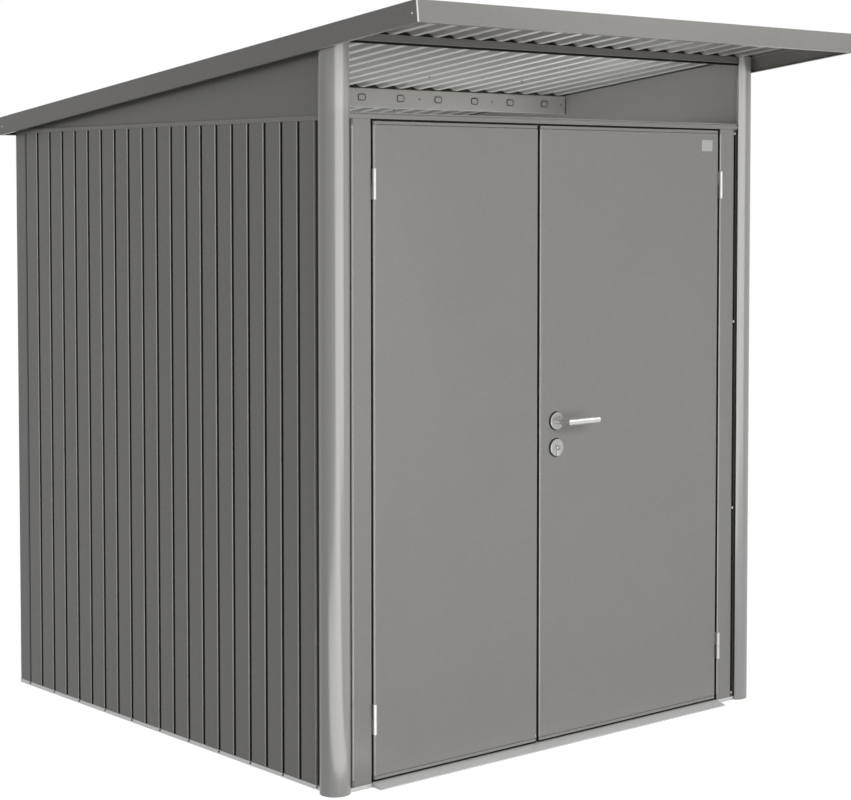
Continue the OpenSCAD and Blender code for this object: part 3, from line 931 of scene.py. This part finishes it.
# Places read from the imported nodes


@dataclass(frozen=True)
class Places:
    """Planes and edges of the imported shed, in metres."""

    front_y: float
    leaf_low: float
    leaf_high: float
    meet_left: float
    meet_right: float
    leaf_edge: float
    jamb: float
    panel_edge: float
    head_z: float
    sill_top: float

    @classmethod
    def read(cls, panel_face: float = 71 * MM) -> "Places":
        """Read the planes from the nodes' boxes.

        Args:
            panel_face: Width of a fixed panel's face, without the flange behind the post.

        Returns:
            The places of this pack.
        """
        left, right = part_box("door_left_skin"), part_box("door_right_skin")
        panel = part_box("front_panel_right")
        return cls(
            front_y=right[0].y, leaf_low=right[0].z, leaf_high=right[1].z,
            meet_left=left[1].x, meet_right=right[0].x, leaf_edge=right[1].x,
            jamb=panel[0].x, panel_edge=panel[0].x + panel_face,
            head_z=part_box("door_head_rail")[0].z, sill_top=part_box("door_sill")[1].z,
        )

    def leaves(self) -> tuple[tuple[Body, float, float], ...]:
        """Body, left edge and right edge of each leaf."""
        return ((Body.LEFT_DOOR, -self.leaf_edge, self.meet_left),
                (Body.RIGHT_DOOR, self.meet_right, self.leaf_edge))


# Sub-assemblies


class CadFinishes:
    """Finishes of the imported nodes, by the record's slots."""

    def dress(self) -> None:
        """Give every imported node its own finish, or else that of its slot."""
        for row in frame["record"]["subparts"]:
            node = frame["nodes"][row["node"]]
            finish = OWN_FINISH.get(row["node"], NODE_FINISH[Slot(row["material_slot"])])
            for place in node.material_slots:
                place.material = finish.material()
            LOG.info("%s: %s", row["node"], finish.name)


@dataclass
class WallFasteners:
    """Bolts through the base rails, one under each joint of two wall elements."""

    elements: int = 10
    half_slot: float = 4 * MM
    side_lap: float = 46 * MM
    rear_lap: float = 8 * MM
    height: float = 7.5 * MM
    bolt: ScrewHead = ScrewHead(3.4 * MM, 2.2 * MM)

    def joints(self, low: float, high: float, lap: float) -> list[float]:
        """Joints along a wall from its high end, where the last lap reaches past the low one."""
        step = (high - low - lap) / self.elements
        return [high + self.half_slot - i * step for i in range(self.elements + 1)]

    def build(self) -> None:
        """Set the bolts in the side and rear rails."""
        stock = Stock()
        for side in Side:
            low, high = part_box(f"{side.name.lower()}_wall_panels")
            face = side.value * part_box("base_rail_right")[1].x
            for y in self.joints(low.y, high.y, self.side_lap):
                self.bolt.drive_in(stock, (face, y, self.height), Vector((side.value, 0, 0)))
        low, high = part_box("rear_wall_panels")
        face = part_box("base_rail_rear")[1].y
        for x in self.joints(-high.x, -low.x, self.rear_lap):
            self.bolt.drive_in(stock, (-x, face, self.height), -FRONT)
        stock.piece("base_rail_bolts", DARK_BOLT_AND_SHADE, Slot.ALLOY_PROFILE)


@dataclass
class WallLines:
    """Light strips along the edges of the wall faces that paint highlights, and black strips in
    the grooves between them that paint shade.
    """

    # Node of each wall, the axis through it and the sign of its outward direction
    walls: tuple[tuple[str, int, int], ...] = (
        ("left_wall_panels", X_AXIS, -1), ("right_wall_panels", X_AXIS, 1),
        ("rear_wall_panels", Y_AXIS, 1))
    bottom: float = 13 * MM
    cap_lap: float = 12.5 * MM
    slope: float = 0.25
    edge_lap: float = 2.2 * MM
    crown_share: float = 0.7
    edge_deep: float = 2.4 * MM
    edge_thick: float = 0.9 * MM
    edge_proud: float = 0.5 * MM
    nose_out: float = 0.4 * MM
    nose_share: float = 0.6
    strip_deep: float = 1.2 * MM
    strip_thick: float = 1.2 * MM
    near_gap: float = 0.6 * MM
    edge_gap: float = 1.7 * MM
    flat_within: float = 0.1 * MM
    digits: int = 5

    def faces(self, node: str, across: int, side: int) -> list[Point]:
        """Read where a wall's flat faces begin and end.

        Args:
            node: The wall's node.
            across: Axis through the wall.
            side: Sign of the outward direction.

        Returns:
            Both ends of each face, along the wall.
        """
        corners = [corner.co for corner in frame["nodes"][node].data.vertices]
        plane = max(side * corner[across] for corner in corners)
        ends = sorted({round(corner[1 - across], self.digits) for corner in corners
                       if side * corner[across] > plane - self.flat_within})
        return list(zip(ends[::2], ends[1::2]))

    def edge_section(self, end: float) -> list[Point]:
        """Section of a light strip that paints the highlight on one edge.

        Args:
            end: Low end of the face, along the wall.

        Returns:
            Points along the wall and out of it.
        """
        foot = end - self.slope * self.edge_deep
        return [
            (end + self.edge_lap, 0.0), (end + self.crown_share * self.edge_lap, self.edge_proud),
            (end - self.nose_out, self.nose_share * self.edge_proud),
            (foot - self.edge_thick, -self.edge_deep), (foot, -self.edge_deep),
        ]

    def build(self) -> None:
        """Line every face and groove of the three walls."""
        edges, strips = Stock(), Stock()
        outer, inner = -self.strip_deep, -self.strip_deep - self.strip_thick
        for node, across, side in self.walls:
            low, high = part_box(node)
            plane = high[across] if side > 0 else low[across]
            runs = self.faces(node, across, side)
            # Light strips on the face edges paint highlights, black strips in the grooves paint
            # shade
            sections = [(edges, self.edge_section(end)) for end, _ in runs]
            for (_, a), (b, _) in zip(runs, runs[1:]):
                a, b = a + self.near_gap, b - self.edge_gap
                sections.append((strips, [(a, inner), (a, outer), (b, outer), (b, inner)]))
            for stock, section in sections:
                points = [(plane + side * v, u) for u, v in section]
                if across == Y_AXIS:
                    points = [(u, v) for v, u in points]
                stock.upright(points, self.bottom, high.z - self.cap_lap)
        edges.piece("wall_edge_highlights", WALL_EDGE_HIGHLIGHT, Slot.PAINTED_SHEET)
        strips.piece("wall_groove_shade_strips", SEAL_AND_SHADE_BLACK)


@dataclass
class EdgeHighlightLines:
    """Light lines that paint the highlights on the upright bevels of the leaves and the fixed
    panels.
    """

    places: Places
    bevel: float = 5 * MM
    inset: float = 0.12
    shoulder: float = 0.3
    thick: float = 0.35 * MM
    end_gap: float = 12 * MM

    def section(self, edge: float, way: int) -> list[Point]:
        """Section of a line on one bevel.

        Args:
            edge: The sheet's edge in X.
            way: Sign of the direction from the edge to the face.

        Returns:
            Points in X and Y.
        """
        rise = self.thick * math.sqrt(0.5)
        spots = ((self.inset, 0.0), (self.shoulder, rise), (1.0 - self.shoulder, rise),
                 (1.0 - self.inset, 0.0))
        return [(edge + way * (share * self.bevel - lift),
                 self.places.front_y + (1.0 - share) * self.bevel - lift) for share, lift in spots]

    def build(self) -> None:
        """Line the leaves and the panels."""
        p = self.places
        rows = ((Body.SHELL, -p.panel_edge, -p.jamb), *p.leaves(),
                (Body.SHELL, p.jamb, p.panel_edge))
        for body in Body:
            stock = Stock()
            for owner, left, right in rows:
                if owner is body:
                    for section in (self.section(left, 1), self.section(right, -1)):
                        stock.upright(
                            section, p.leaf_low + self.end_gap, p.leaf_high - self.end_gap)
            stock.piece(f"{body.value}_front_edge_highlights", BEVEL_HIGHLIGHT_COAT, Slot.PAINTED_SHEET, body)


@dataclass
class RoofTrim:
    """Corner trims, screws, rib fillers and seam tips, set out in the roof's own frame."""

    depth: float = 2.21
    fall: float = 0.2465
    fascia_h: float = 60 * MM
    trim_front: float = 3.5 * MM
    trim_side: float = 2 * MM
    trim_thick: float = 0.6 * MM
    corner_screw_in: float = 21.3 * MM
    corner_screw_down: float = 33.3 * MM
    beams: tuple[str, ...] = ("front_roof_beam", "mid_roof_beam", "rear_roof_beam")
    valley_top: float = 11.5 * MM
    valley_under: float = 12.3 * MM
    ribs: int = 22
    rib_margin: float = 1.5 * MM
    crest_share: float = 0.35
    flank_share: float = 0.2
    rib_h: float = 10 * MM
    filler_set: float = 2 * MM
    filler_deep: float = 12 * MM
    filler_gap: float = 0.4 * MM
    every: int = 2
    seam_ribs: tuple[int, ...] = (6, 11, 16)
    seam_rows: tuple[float, ...] = (1.010, 1.690)
    # Radius and height of a screw tip's rings, in millimetres
    seam_tip: tuple[Point, ...] = (
        (0.3, 7.0), (1.4, 5.0), (2.2, 4.0), (2.2, 1.2), (3.6, 0.8), (3.6, 0.0), (0.8, 0.0))
    tip_sides: int = 12
    corner_screw: ScrewHead = ScrewHead(3.2 * MM, 1.8 * MM)
    roof_screw: ScrewHead = ScrewHead(4.0 * MM, 3.4 * MM, washer=8.0 * MM)

    def __post_init__(self) -> None:
        """Work out the pitch and the roof's frame."""
        self.pitch = math.atan(self.fall / self.depth)
        self.length = self.depth / math.cos(self.pitch)
        self.half_width = CAD_BOX[1].x
        self.front_y = CAD_BOX[0].y + self.fascia_h * math.sin(self.pitch)
        self.place = (Matrix.Translation((0, self.front_y, CAD_BOX[1].z))
                      @ Matrix.Rotation(-self.pitch, 4, "X"))
        self.up = self.place.to_3x3() @ Vector((0, 0, 1))

    def down_slope(self, y: float) -> float:
        """Distance down the slope to a place in Y."""
        return (y - self.front_y) / math.cos(self.pitch)

    def rib_x(self, rib: int) -> float:
        """Place of a rib's left valley line."""
        return (rib / self.ribs - 0.5) * 2 * (self.half_width - self.rib_margin)

    def build_corner_trims(self) -> None:
        """Fold a bright trim around each corner of the fascia."""
        stock, t = Stock(), self.trim_thick
        legs = ((t, -t), (-self.trim_front, -t), (-self.trim_front, 0.0), (0.0, 0.0),
                (0.0, self.trim_side), (t, self.trim_side))
        foot = self.place @ Matrix.Translation((0, 0, -self.fascia_h))
        for side in Side:
            for end, inward in ((0.0, 1.0), (self.length, -1.0)):
                section = [(self.half_width + u, end + inward * v) for u, v in legs]
                stock.rolled(mirrored(section, side), foot, self.fascia_h)
        stock.piece("fascia_corner_trims", BARE_ALLOY, Slot.ALLOY_PROFILE)

    def build_corner_screws(self) -> None:
        """Drive a screw into each side fascia next to its corners."""
        stock = Stock()
        for side in Side:
            for along in (self.corner_screw_in, self.length - self.corner_screw_in):
                spot = Vector((side.value * self.half_width, along, -self.corner_screw_down))
                self.corner_screw.drive_in(stock, self.place @ spot, Vector((side.value, 0, 0)))
        stock.piece("fascia_screws", SATIN_STEEL, Slot.HARDWARE)

    def build_roof_screws(self) -> None:
        """Drive washered screws through the valleys into the three beams."""
        stock = Stock()
        for beam in self.beams:
            low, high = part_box(beam)
            along = self.down_slope((low.y + high.y) / 2)
            for rib in range(1, self.ribs, self.every):
                at = self.place @ Vector((self.rib_x(rib), along, -self.valley_top))
                self.roof_screw.drive_in(stock, at, self.up)
        stock.piece("roof_screws", ZINC_PLATE, Slot.HARDWARE)

    def build_rib_fillers(self) -> None:
        """Close the ribs over each beam with black foam fillers, whose black also paints the shade
        in the rib openings.
        """
        stock = Stock()
        step = self.rib_x(1) - self.rib_x(0)
        crest = self.crest_share * step / 2 - self.filler_gap
        foot = crest + self.flank_share * step
        low = self.filler_gap - self.valley_under
        high = self.rib_h - self.valley_under - self.filler_gap
        for beam in self.beams:
            start = self.down_slope(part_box(beam)[0].y + self.filler_set)
            place = self.place @ Matrix(
                ((1, 0, 0, 0), (0, 0, 1, start), (0, 1, 0, 0), (0, 0, 0, 1)))
            for rib in range(self.ribs):
                mid = self.rib_x(rib) + step / 2
                section = [(mid - foot, low), (mid + foot, low), (mid + crest, high),
                           (mid - crest, high)]
                stock.rolled(section, place, self.filler_deep)
        stock.piece("rib_fillers_and_shade", SEAL_AND_SHADE_BLACK)

    def build_seam_tips(self) -> None:
        """Let the tips of the side lap screws show under the roof."""
        stock = Stock()
        tip = scaled(self.seam_tip, MM, MM)
        for rib in self.seam_ribs:
            for along in self.seam_rows:
                at = self.place @ Vector((self.rib_x(rib), along, -self.valley_under))
                stock.turned(tip, facing(-self.up, at), self.tip_sides)
        stock.piece("roof_seam_tips", DARK_BOLT_AND_SHADE, Slot.HARDWARE)

    def build(self) -> None:
        """Build all the roof's trim."""
        self.build_corner_trims()
        self.build_corner_screws()
        self.build_roof_screws()
        self.build_rib_fillers()
        self.build_seam_tips()


@dataclass
class MiddleBeam:
    """Black rings and strips of painted shade round the plugs and along the top and ends, and
    screws, on the face of the middle roof beam.
    """

    plugs: int = 10
    step: float = 166.69 * MM
    width: float = 27.5 * MM
    height: float = 18 * MM
    corner: float = 4.5 * MM
    proud: float = 1.2 * MM
    lip_out: float = 2.2 * MM
    lip_in: float = 0.6 * MM
    lip_thick: float = 1.6 * MM
    half_height: float = 33 * MM
    strip: float = 3.4 * MM
    strip_thick: float = 1.0 * MM
    screw: ScrewHead = ScrewHead(2.8 * MM, 1.8 * MM)

    def build(self) -> None:
        """Ring the plugs with painted shade, drive the screws between them and edge the face with
        strips of painted shade.
        """
        low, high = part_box("mid_roof_beam")
        face, mid_z = low.y + self.proud, low.z + self.half_height
        outer, inner = (
            rounded_outline(self.width + 2 * u, self.height + 2 * u, self.corner + u)
            for u in (self.lip_out, -self.lip_in))
        # The seals stock takes the black rings and strips of painted shade
        seals, screws = Stock(), Stock()
        for i in range(self.plugs):
            x = (i - (self.plugs - 1) / 2) * self.step
            seals.collar(outer, inner, on_face((x, face, mid_z)), self.lip_thick)
        for i in range(1, self.plugs // 2 + 1, 2):
            for side in Side:
                self.screw.drive_in(screws, (side.value * i * self.step, face, mid_z), FRONT)
        near, foot = face - self.strip_thick, high.z - self.strip
        top = [(face, foot), (face, high.z), (near, high.z), (near, foot)]
        seals.across(top, low.x, high.x)
        for x0, x1 in ((low.x, low.x + self.strip), (high.x - self.strip, high.x)):
            end = [(x0, face), (x0, near), (x1, near), (x1, face)]
            seals.upright(end, low.z, foot - self.strip)
        seals.piece("beam_shade_lines", SEAL_AND_SHADE_BLACK)
        screws.piece("beam_screws", DARK_BOLT_AND_SHADE, Slot.HARDWARE)


@dataclass
class FrontTrim:
    """Black strips of painted shade by the posts, clips, and the pane and door frame seals, whose
    black also paints shade.
    """

    places: Places
    seal: SealAndShadeStrip = SealAndShadeStrip()
    hinge_l: float = 87 * MM
    clip_heights: tuple[float, ...] = (26 * MM, 643 * MM, 1260 * MM, 1877 * MM)
    clip_width: float = 5 * MM
    clip_height: float = 7.5 * MM
    clip_corner: float = 1.2 * MM
    clip_bevel: float = 0.5 * MM
    clip_thick: float = 13 * MM
    clip_out: float = 1.6 * MM
    flange_set: float = 12 * MM
    pane_seal_h: float = 7 * MM
    pane_seal_d: float = 4 * MM
    pane_chamfer: float = 1.5 * MM
    post_shade_set: float = 6 * MM
    post_shade_gap: float = 0.5 * MM
    post_chamfer: float = 1 * MM
    wall_tuck: float = 45.5 * MM
    wall_gap: float = 16 * MM
    wall_shade_in: float = 4 * MM
    wall_shade_out: float = 11.5 * MM

    def build_post_seals(self) -> None:
        """Run black strips down the gaps on both sides of the posts, to paint the shade in the
        gaps.
        """
        stock, p, c = Stock(), self.places, self.post_chamfer
        x0, x1 = p.panel_edge + self.post_shade_gap, p.panel_edge + self.flange_set
        y0, y1 = p.front_y + self.post_shade_set, p.front_y + self.flange_set
        by_panel = ((x0, y1), (x0, y0 + c), (x0 + c, y0), (x1 - c, y0), (x1, y0 + c), (x1, y1))
        for side in Side:
            stock.upright(mirrored(by_panel, side), p.leaf_low, p.leaf_high)
            low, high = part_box(f"{side.name.lower()}_wall_panels")
            face, rear = max(abs(low.x), abs(high.x)), low.y + self.wall_tuck
            inner, outer = face - self.wall_shade_out, face - self.wall_shade_in
            near = rear - self.wall_gap
            by_wall = ((inner, rear), (inner, near), (outer, near), (outer, rear))
            stock.upright(mirrored(by_wall, side), low.z, high.z)
        stock.piece("post_gap_shade_strips", SEAL_AND_SHADE_BLACK)

    def build_clips(self) -> None:
        """Set spring clips on the right panel's flange, in the gap beside the post."""
        stock, p = Stock(), self.places
        outline = rounded_outline(self.clip_width, self.clip_height, self.clip_corner)
        for z in self.clip_heights:
            place = on_face((p.panel_edge + self.clip_out, p.front_y + self.flange_set, z))
            stock.plate(outline, place, self.clip_thick, self.clip_bevel)
        stock.piece("panel_clips", HINGE_STEEL, Slot.HARDWARE)

    def build_pane_seal(self) -> None:
        """Run a black seal along the pane's top edge, under the front beam, whose black also
        paints the shadow line under the beam.
        """
        stock, c = Stock(), self.pane_chamfer
        low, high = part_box("transom_pane")
        z1, y1 = high.z, low.y
        z0, y0 = z1 - self.pane_seal_h, y1 - self.pane_seal_d
        section = [(y1, z0), (y1, z1), (y0, z1), (y0, z0 + c), (y0 + c, z0)]
        stock.across(section, low.x, high.x)
        stock.piece("pane_seal_and_shade", SEAL_AND_SHADE_BLACK)

    def build_seals(self) -> None:
        """Run black seals down both jambs and under the head rail; their black also paints the
        shade in the door gaps.
        """
        stock, p = Stock(), self.places
        low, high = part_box("frame_hinges_left")
        stops = (p.sill_top, low.z, low.z + self.hinge_l, high.z - self.hinge_l, high.z, p.head_z)
        for side in Side:
            section = self.seal.section(side.value * p.jamb, -side.value, p.front_y)
            for z0, z1 in zip(stops[::2], stops[1::2]):
                stock.upright(section, z0, z1)
        stock.across(self.seal.level_section(p.head_z, p.front_y), -p.jamb, p.jamb)
        stock.piece("frame_seals_and_shade", SEAL_AND_SHADE_BLACK)

    def build(self) -> None:
        """Build all the front's trim."""
        self.build_post_seals()
        self.build_clips()
        self.build_pane_seal()
        self.build_seals()


@dataclass
class DoorTrim:
    """Seals, whose black also paints the shade in the door gaps, peg and bare plate on the door
    leaves.
    """

    places: Places
    seal: SealAndShadeStrip = SealAndShadeStrip()
    end_gap: float = 3 * MM
    meeting_share: float = 0.95
    plate_x: float = 665 * MM
    plate_z: float = 1835 * MM
    plate_w: float = 50 * MM
    plate_h: float = 36 * MM
    plate_corner: float = 2 * MM
    plate_bevel: float = 0.5 * MM
    plate_thick: float = 1.2 * MM
    peg_in: float = 7.6 * MM
    peg_up: float = 16 * MM
    peg: ScrewHead = ScrewHead(2.8 * MM, 2.0 * MM)

    def build_foot_seals(self) -> None:
        """Hang a black seal under each leaf, whose black also paints the shade in the gap."""
        p = self.places
        section = self.seal.level_section(p.leaf_low, p.front_y)
        for body, left, right in p.leaves():
            stock = Stock()
            stock.across(section, left + self.end_gap, right - self.end_gap)
            stock.piece(f"{body.value}_foot_seal_and_shade", SEAL_AND_SHADE_BLACK, body=body)

    def build_meeting_seal(self) -> None:
        """Run a seal down the meeting edge of the wide leaf, whose black also paints the shade in
        the meeting gap.
        """
        stock, p = Stock(), self.places
        section = self.seal.section(p.meet_right, -self.meeting_share, p.front_y)
        stock.upright(section, p.leaf_low, p.leaf_high)
        stock.piece("meeting_seal_and_shade", SEAL_AND_SHADE_BLACK, body=Body.RIGHT_DOOR)

    def build_plate(self) -> None:
        """Set the bare plate on the wide leaf."""
        stock = Stock()
        outline = rounded_outline(self.plate_w, self.plate_h, self.plate_corner)
        place = on_face((self.plate_x, self.places.front_y, self.plate_z))
        stock.plate(outline, place, self.plate_thick, self.plate_bevel)
        stock.piece("bare_plate", PLATE_ALLOY, Slot.HARDWARE, Body.RIGHT_DOOR)

    def build_peg(self) -> None:
        """Set the small bright peg at the foot of the narrow leaf."""
        stock, p = Stock(), self.places
        at = (p.meet_left - self.peg_in, p.front_y, p.leaf_low + self.peg_up)
        self.peg.drive_in(stock, at, FRONT)
        stock.piece("foot_peg", SATIN_STEEL, Slot.HARDWARE, Body.LEFT_DOOR)

    def build(self) -> None:
        """Build all the doors' trim."""
        self.build_foot_seals()
        self.build_meeting_seal()
        self.build_plate()
        self.build_peg()


@dataclass
class LockTrim:
    """Plug on both ends of the key cylinder, with dark marks that paint the shade in its keyway
    and round it, and black rings of painted shade round the outer roses.
    """

    barrel_r: float = 8.5 * MM
    plug_r: float = 5.8 * MM
    plug_out: float = 0.8 * MM
    plug_shape: tuple[Point, ...] = (
        (0.3, 0.85), (0.75, 1.0), (0.9, 0.9), (1.0, 0.4), (1.0, 0.0), (0.3, 0.0))
    plug_sides: int = 28
    groove_w: float = 2.0 * MM
    groove_share: float = 0.4
    groove_steps: int = 7
    keyway_w: float = 2.4 * MM
    keyway_h: float = 9.0 * MM
    keyway_corner: float = 0.45
    keyway_foot: float = 0.5
    keyway_share: float = 0.58
    rose_shade_w: float = 2.2 * MM
    rose_shade_thick: float = 1.2 * MM
    rose_shade_steps: int = 9

    def build_plugs(self) -> None:
        """Turn the plugs and lay on them dark marks that paint the shade in the keyways and round
        the plugs.
        """
        low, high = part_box("lock_cylinder")
        x, z = (low.x + high.x) / 2, high.z - self.barrel_r
        plugs, keyway_shades = Stock(), Stock()
        r, h = self.plug_r, self.plug_out
        slit = rounded_outline(self.keyway_w, self.keyway_h, self.keyway_w * self.keyway_corner)
        groove = [ring(u, self.groove_steps) for u in (r + self.groove_w, r + HAIR_GAP)]
        for y, turn in ((low.y, TO_FRONT), (high.y, TO_REAR)):
            place = on_face((x, y, z), turn)
            plugs.turned(scaled(self.plug_shape, r, h), place, self.plug_sides)
            foot = place @ Matrix.Translation((0, 0, h * self.keyway_foot))
            # Dark keyway mark and ring: painted shade
            keyway_shades.plate(slit, foot, h * self.keyway_share, HAIR_GAP)
            keyway_shades.collar(*groove, place, h * self.groove_share)
        plugs.piece("key_plugs", SATIN_STEEL, Slot.HARDWARE, Body.RIGHT_DOOR)
        keyway_shades.piece("keyway_shades", DARK_BOLT_AND_SHADE, Slot.HARDWARE, Body.RIGHT_DOOR)

    def build_rose_shade_rings(self) -> None:
        """Lay a black ring of painted shade round the foot of each outer rose."""
        stock = Stock()
        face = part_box("door_right_skin")[0].y
        for node in ("handle_roses", "key_roses"):
            low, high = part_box(node)
            r = (high.x - low.x) / 2
            rings = [ring(u, self.rose_shade_steps) for u in (r + self.rose_shade_w, r + HAIR_GAP)]
            place = on_face(((low.x + high.x) / 2, face, (low.z + high.z) / 2))
            stock.collar(*rings, place, self.rose_shade_thick)
        stock.piece("rose_shade_rings", SEAL_AND_SHADE_BLACK, body=Body.RIGHT_DOOR)

    def build(self) -> None:
        """Build all the lock's trim."""
        self.build_plugs()
        self.build_rose_shade_rings()


# Studio


def seen_directly(graph: Graph) -> Socket:
    """Share of rays that the camera, metal or glass sees.

    Args:
        graph: The tree that takes the nodes.

    Returns:
        A socket that is 1 for those rays.
    """
    path = graph.node("LightPath").outputs
    seen = graph.math("ADD", path["Is Camera Ray"], path["Is Glossy Ray"])
    return graph.math("ADD", seen, path["Is Transmission Ray"], clamp=True)


@dataclass(frozen=True)
class StudioFloor(Finish):
    """Pale floor that glows for the eye and keeps the shed's shadow."""

    colour: Colour = (0.44, 0.44, 0.44)
    shade: Colour = (0.32, 0.32, 0.32)
    glow: float = 0.90

    def shader(self, graph: Graph) -> Socket:
        """Plain floor for bounced light, and a glowing one for the eye.

        Args:
            graph: The material's tree.

        Returns:
            The shader's socket.
        """
        plain, shade = (graph.node("BsdfDiffuse", {"Color": colour}).outputs[0]
                        for colour in (self.colour, self.shade))
        glow = graph.node("Emission", {"Color": WHITE, "Strength": self.glow}).outputs[0]
        seen = graph.node("AddShader", {0: shade, 1: glow}).outputs[0]
        return graph.node("MixShader", {0: seen_directly(graph), 1: plain, 2: seen}).outputs[0]


@dataclass(frozen=True)
class Lamp:
    """One soft rectangular lamp."""

    name: str
    at: Triple
    aim: Triple
    size: Point
    power: float
    gloss_only: bool = False
    matte_only: bool = False
    colour: Colour = WHITE

    def hang(self) -> None:
        """Hang the lamp, out of the camera's sight."""
        data = bpy.data.lights.new(self.name, "AREA")
        data.shape, data.size, data.size_y = "RECTANGLE", *self.size
        data.energy, data.color = self.power, self.colour
        made = add_object(self.name, data)
        made.location = self.at
        view = Vector(self.aim) - Vector(self.at)
        made.rotation_euler = view.to_track_quat("-Z", "Y").to_euler()
        made.visible_camera = False
        made.visible_diffuse, made.visible_glossy = not self.gloss_only, not self.matte_only


# Name, place, aim, size and power of each lamp
LAMPS = (
    Lamp("front_softbox", (-0.1, -6.4, 3.2), (0.0, -0.7, 1.2), (5.6, 2.8), 206.0,
         matte_only=True),
    Lamp("low_softbox", (-0.3, -3.0, 0.45), (-0.3, -0.7, 0.15), (2.6, 0.6), 11.0,
         matte_only=True),
    Lamp("overhang_lamp", (-0.12, -0.93, 1.9), (-0.12, -0.929, 2.6), (1.6, 0.34), 1.65,
         matte_only=True),
    Lamp("inside_lamp", (0.1, -0.45, 1.15), (0.1, 0.15, 2.0), (1.2, 0.25), 13.0),
    Lamp("inside_side_lamp", (0.62, -0.25, 1.55), (-0.4, -0.2, 2.08), (0.5, 0.3), 2.5),
    Lamp("inside_rear_lamp", (0.0, 0.7, 1.2), (0.0, 0.71, 2.0), (1.0, 0.4), 5.0),
    Lamp("gloss_card", (-0.35, -6.4, 1.4), (-0.35, 0.0, 1.4), (7.3, 2.8), 152.0,
         gloss_only=True, colour=(1.0, 0.987, 0.955)),
    Lamp("floor_gloss_card", (-2.0, -3.65, 0.02), (-2.0, -3.64, 2.0), (3.0, 5.5), 115.0,
         gloss_only=True),
    Lamp("high_gloss_card", (3.2, -3.0, 4.2), (0.0, -0.75, 0.99), (2.4, 2.4), 54.0,
         gloss_only=True),
)


@dataclass
class Studio:
    """Camera, floor, backdrop and soft light."""

    lens: float = 86.48
    sensor: float = 36.0
    sight: float = 500.0
    yaw: float = math.radians(40.671)
    tilt: float = math.radians(2.751)
    stand: Triple = (-4.3195, -5.1604, 1.6884)
    shift: Point = (-0.0127, -0.13)
    floor_half: float = 60.0
    floor_finish: StudioFloor = StudioFloor("studio_floor")
    fill_level: float = 0.385

    def build_camera(self) -> None:
        """Set the camera at the photograph's place."""
        data = bpy.data.cameras.new("camera")
        data.lens, data.sensor_width, data.clip_end = self.lens, self.sensor, self.sight
        data.shift_x, data.shift_y = self.shift
        made = add_object("camera", data)
        made.location = self.stand
        made.rotation_euler = (math.pi / 2 - self.tilt, 0.0, -self.yaw)
        bpy.context.scene.camera = made

    def build_world(self) -> None:
        """White backdrop for the eye, and an even soft fill for the object."""
        world = bpy.data.worlds.new("studio")
        graph = Graph.fresh(world)
        level = graph.math(
            "MULTIPLY_ADD", seen_directly(graph), 1.0 - self.fill_level, self.fill_level)
        back = graph.node("Background", {"Color": WHITE, "Strength": level})
        graph.node("OutputWorld", {"Surface": back.outputs[0]})
        bpy.context.scene.world = world

    def build_floor(self) -> None:
        """Lay the floor."""
        sheet = bmesh.new()
        bmesh.ops.create_grid(sheet, x_segments=1, y_segments=1, size=self.floor_half)
        data = bpy.data.meshes.new("floor")
        sheet.to_mesh(data)
        sheet.free()
        data.materials.append(self.floor_finish.material())
        floor = add_object("floor", data)

    def build(self) -> None:
        """Set up the whole studio."""
        bpy.context.scene.view_settings.view_transform = "Standard"
        self.build_camera()
        self.build_world()
        self.build_floor()
        for lamp in LAMPS:
            lamp.hang()


def main() -> None:
    """Build and dress the shed, then set the studio around it."""
    logging.basicConfig(level=logging.INFO, format="%(name)s %(message)s")
    places = Places.read()
    CadFinishes().dress()
    WallFasteners().build()
    WallLines().build()
    EdgeHighlightLines(places).build()
    RoofTrim().build()
    MiddleBeam().build()
    FrontTrim(places).build()
    DoorTrim(places).build()
    LockTrim().build()
    Studio().build()


if __name__ == "__main__":
    main()
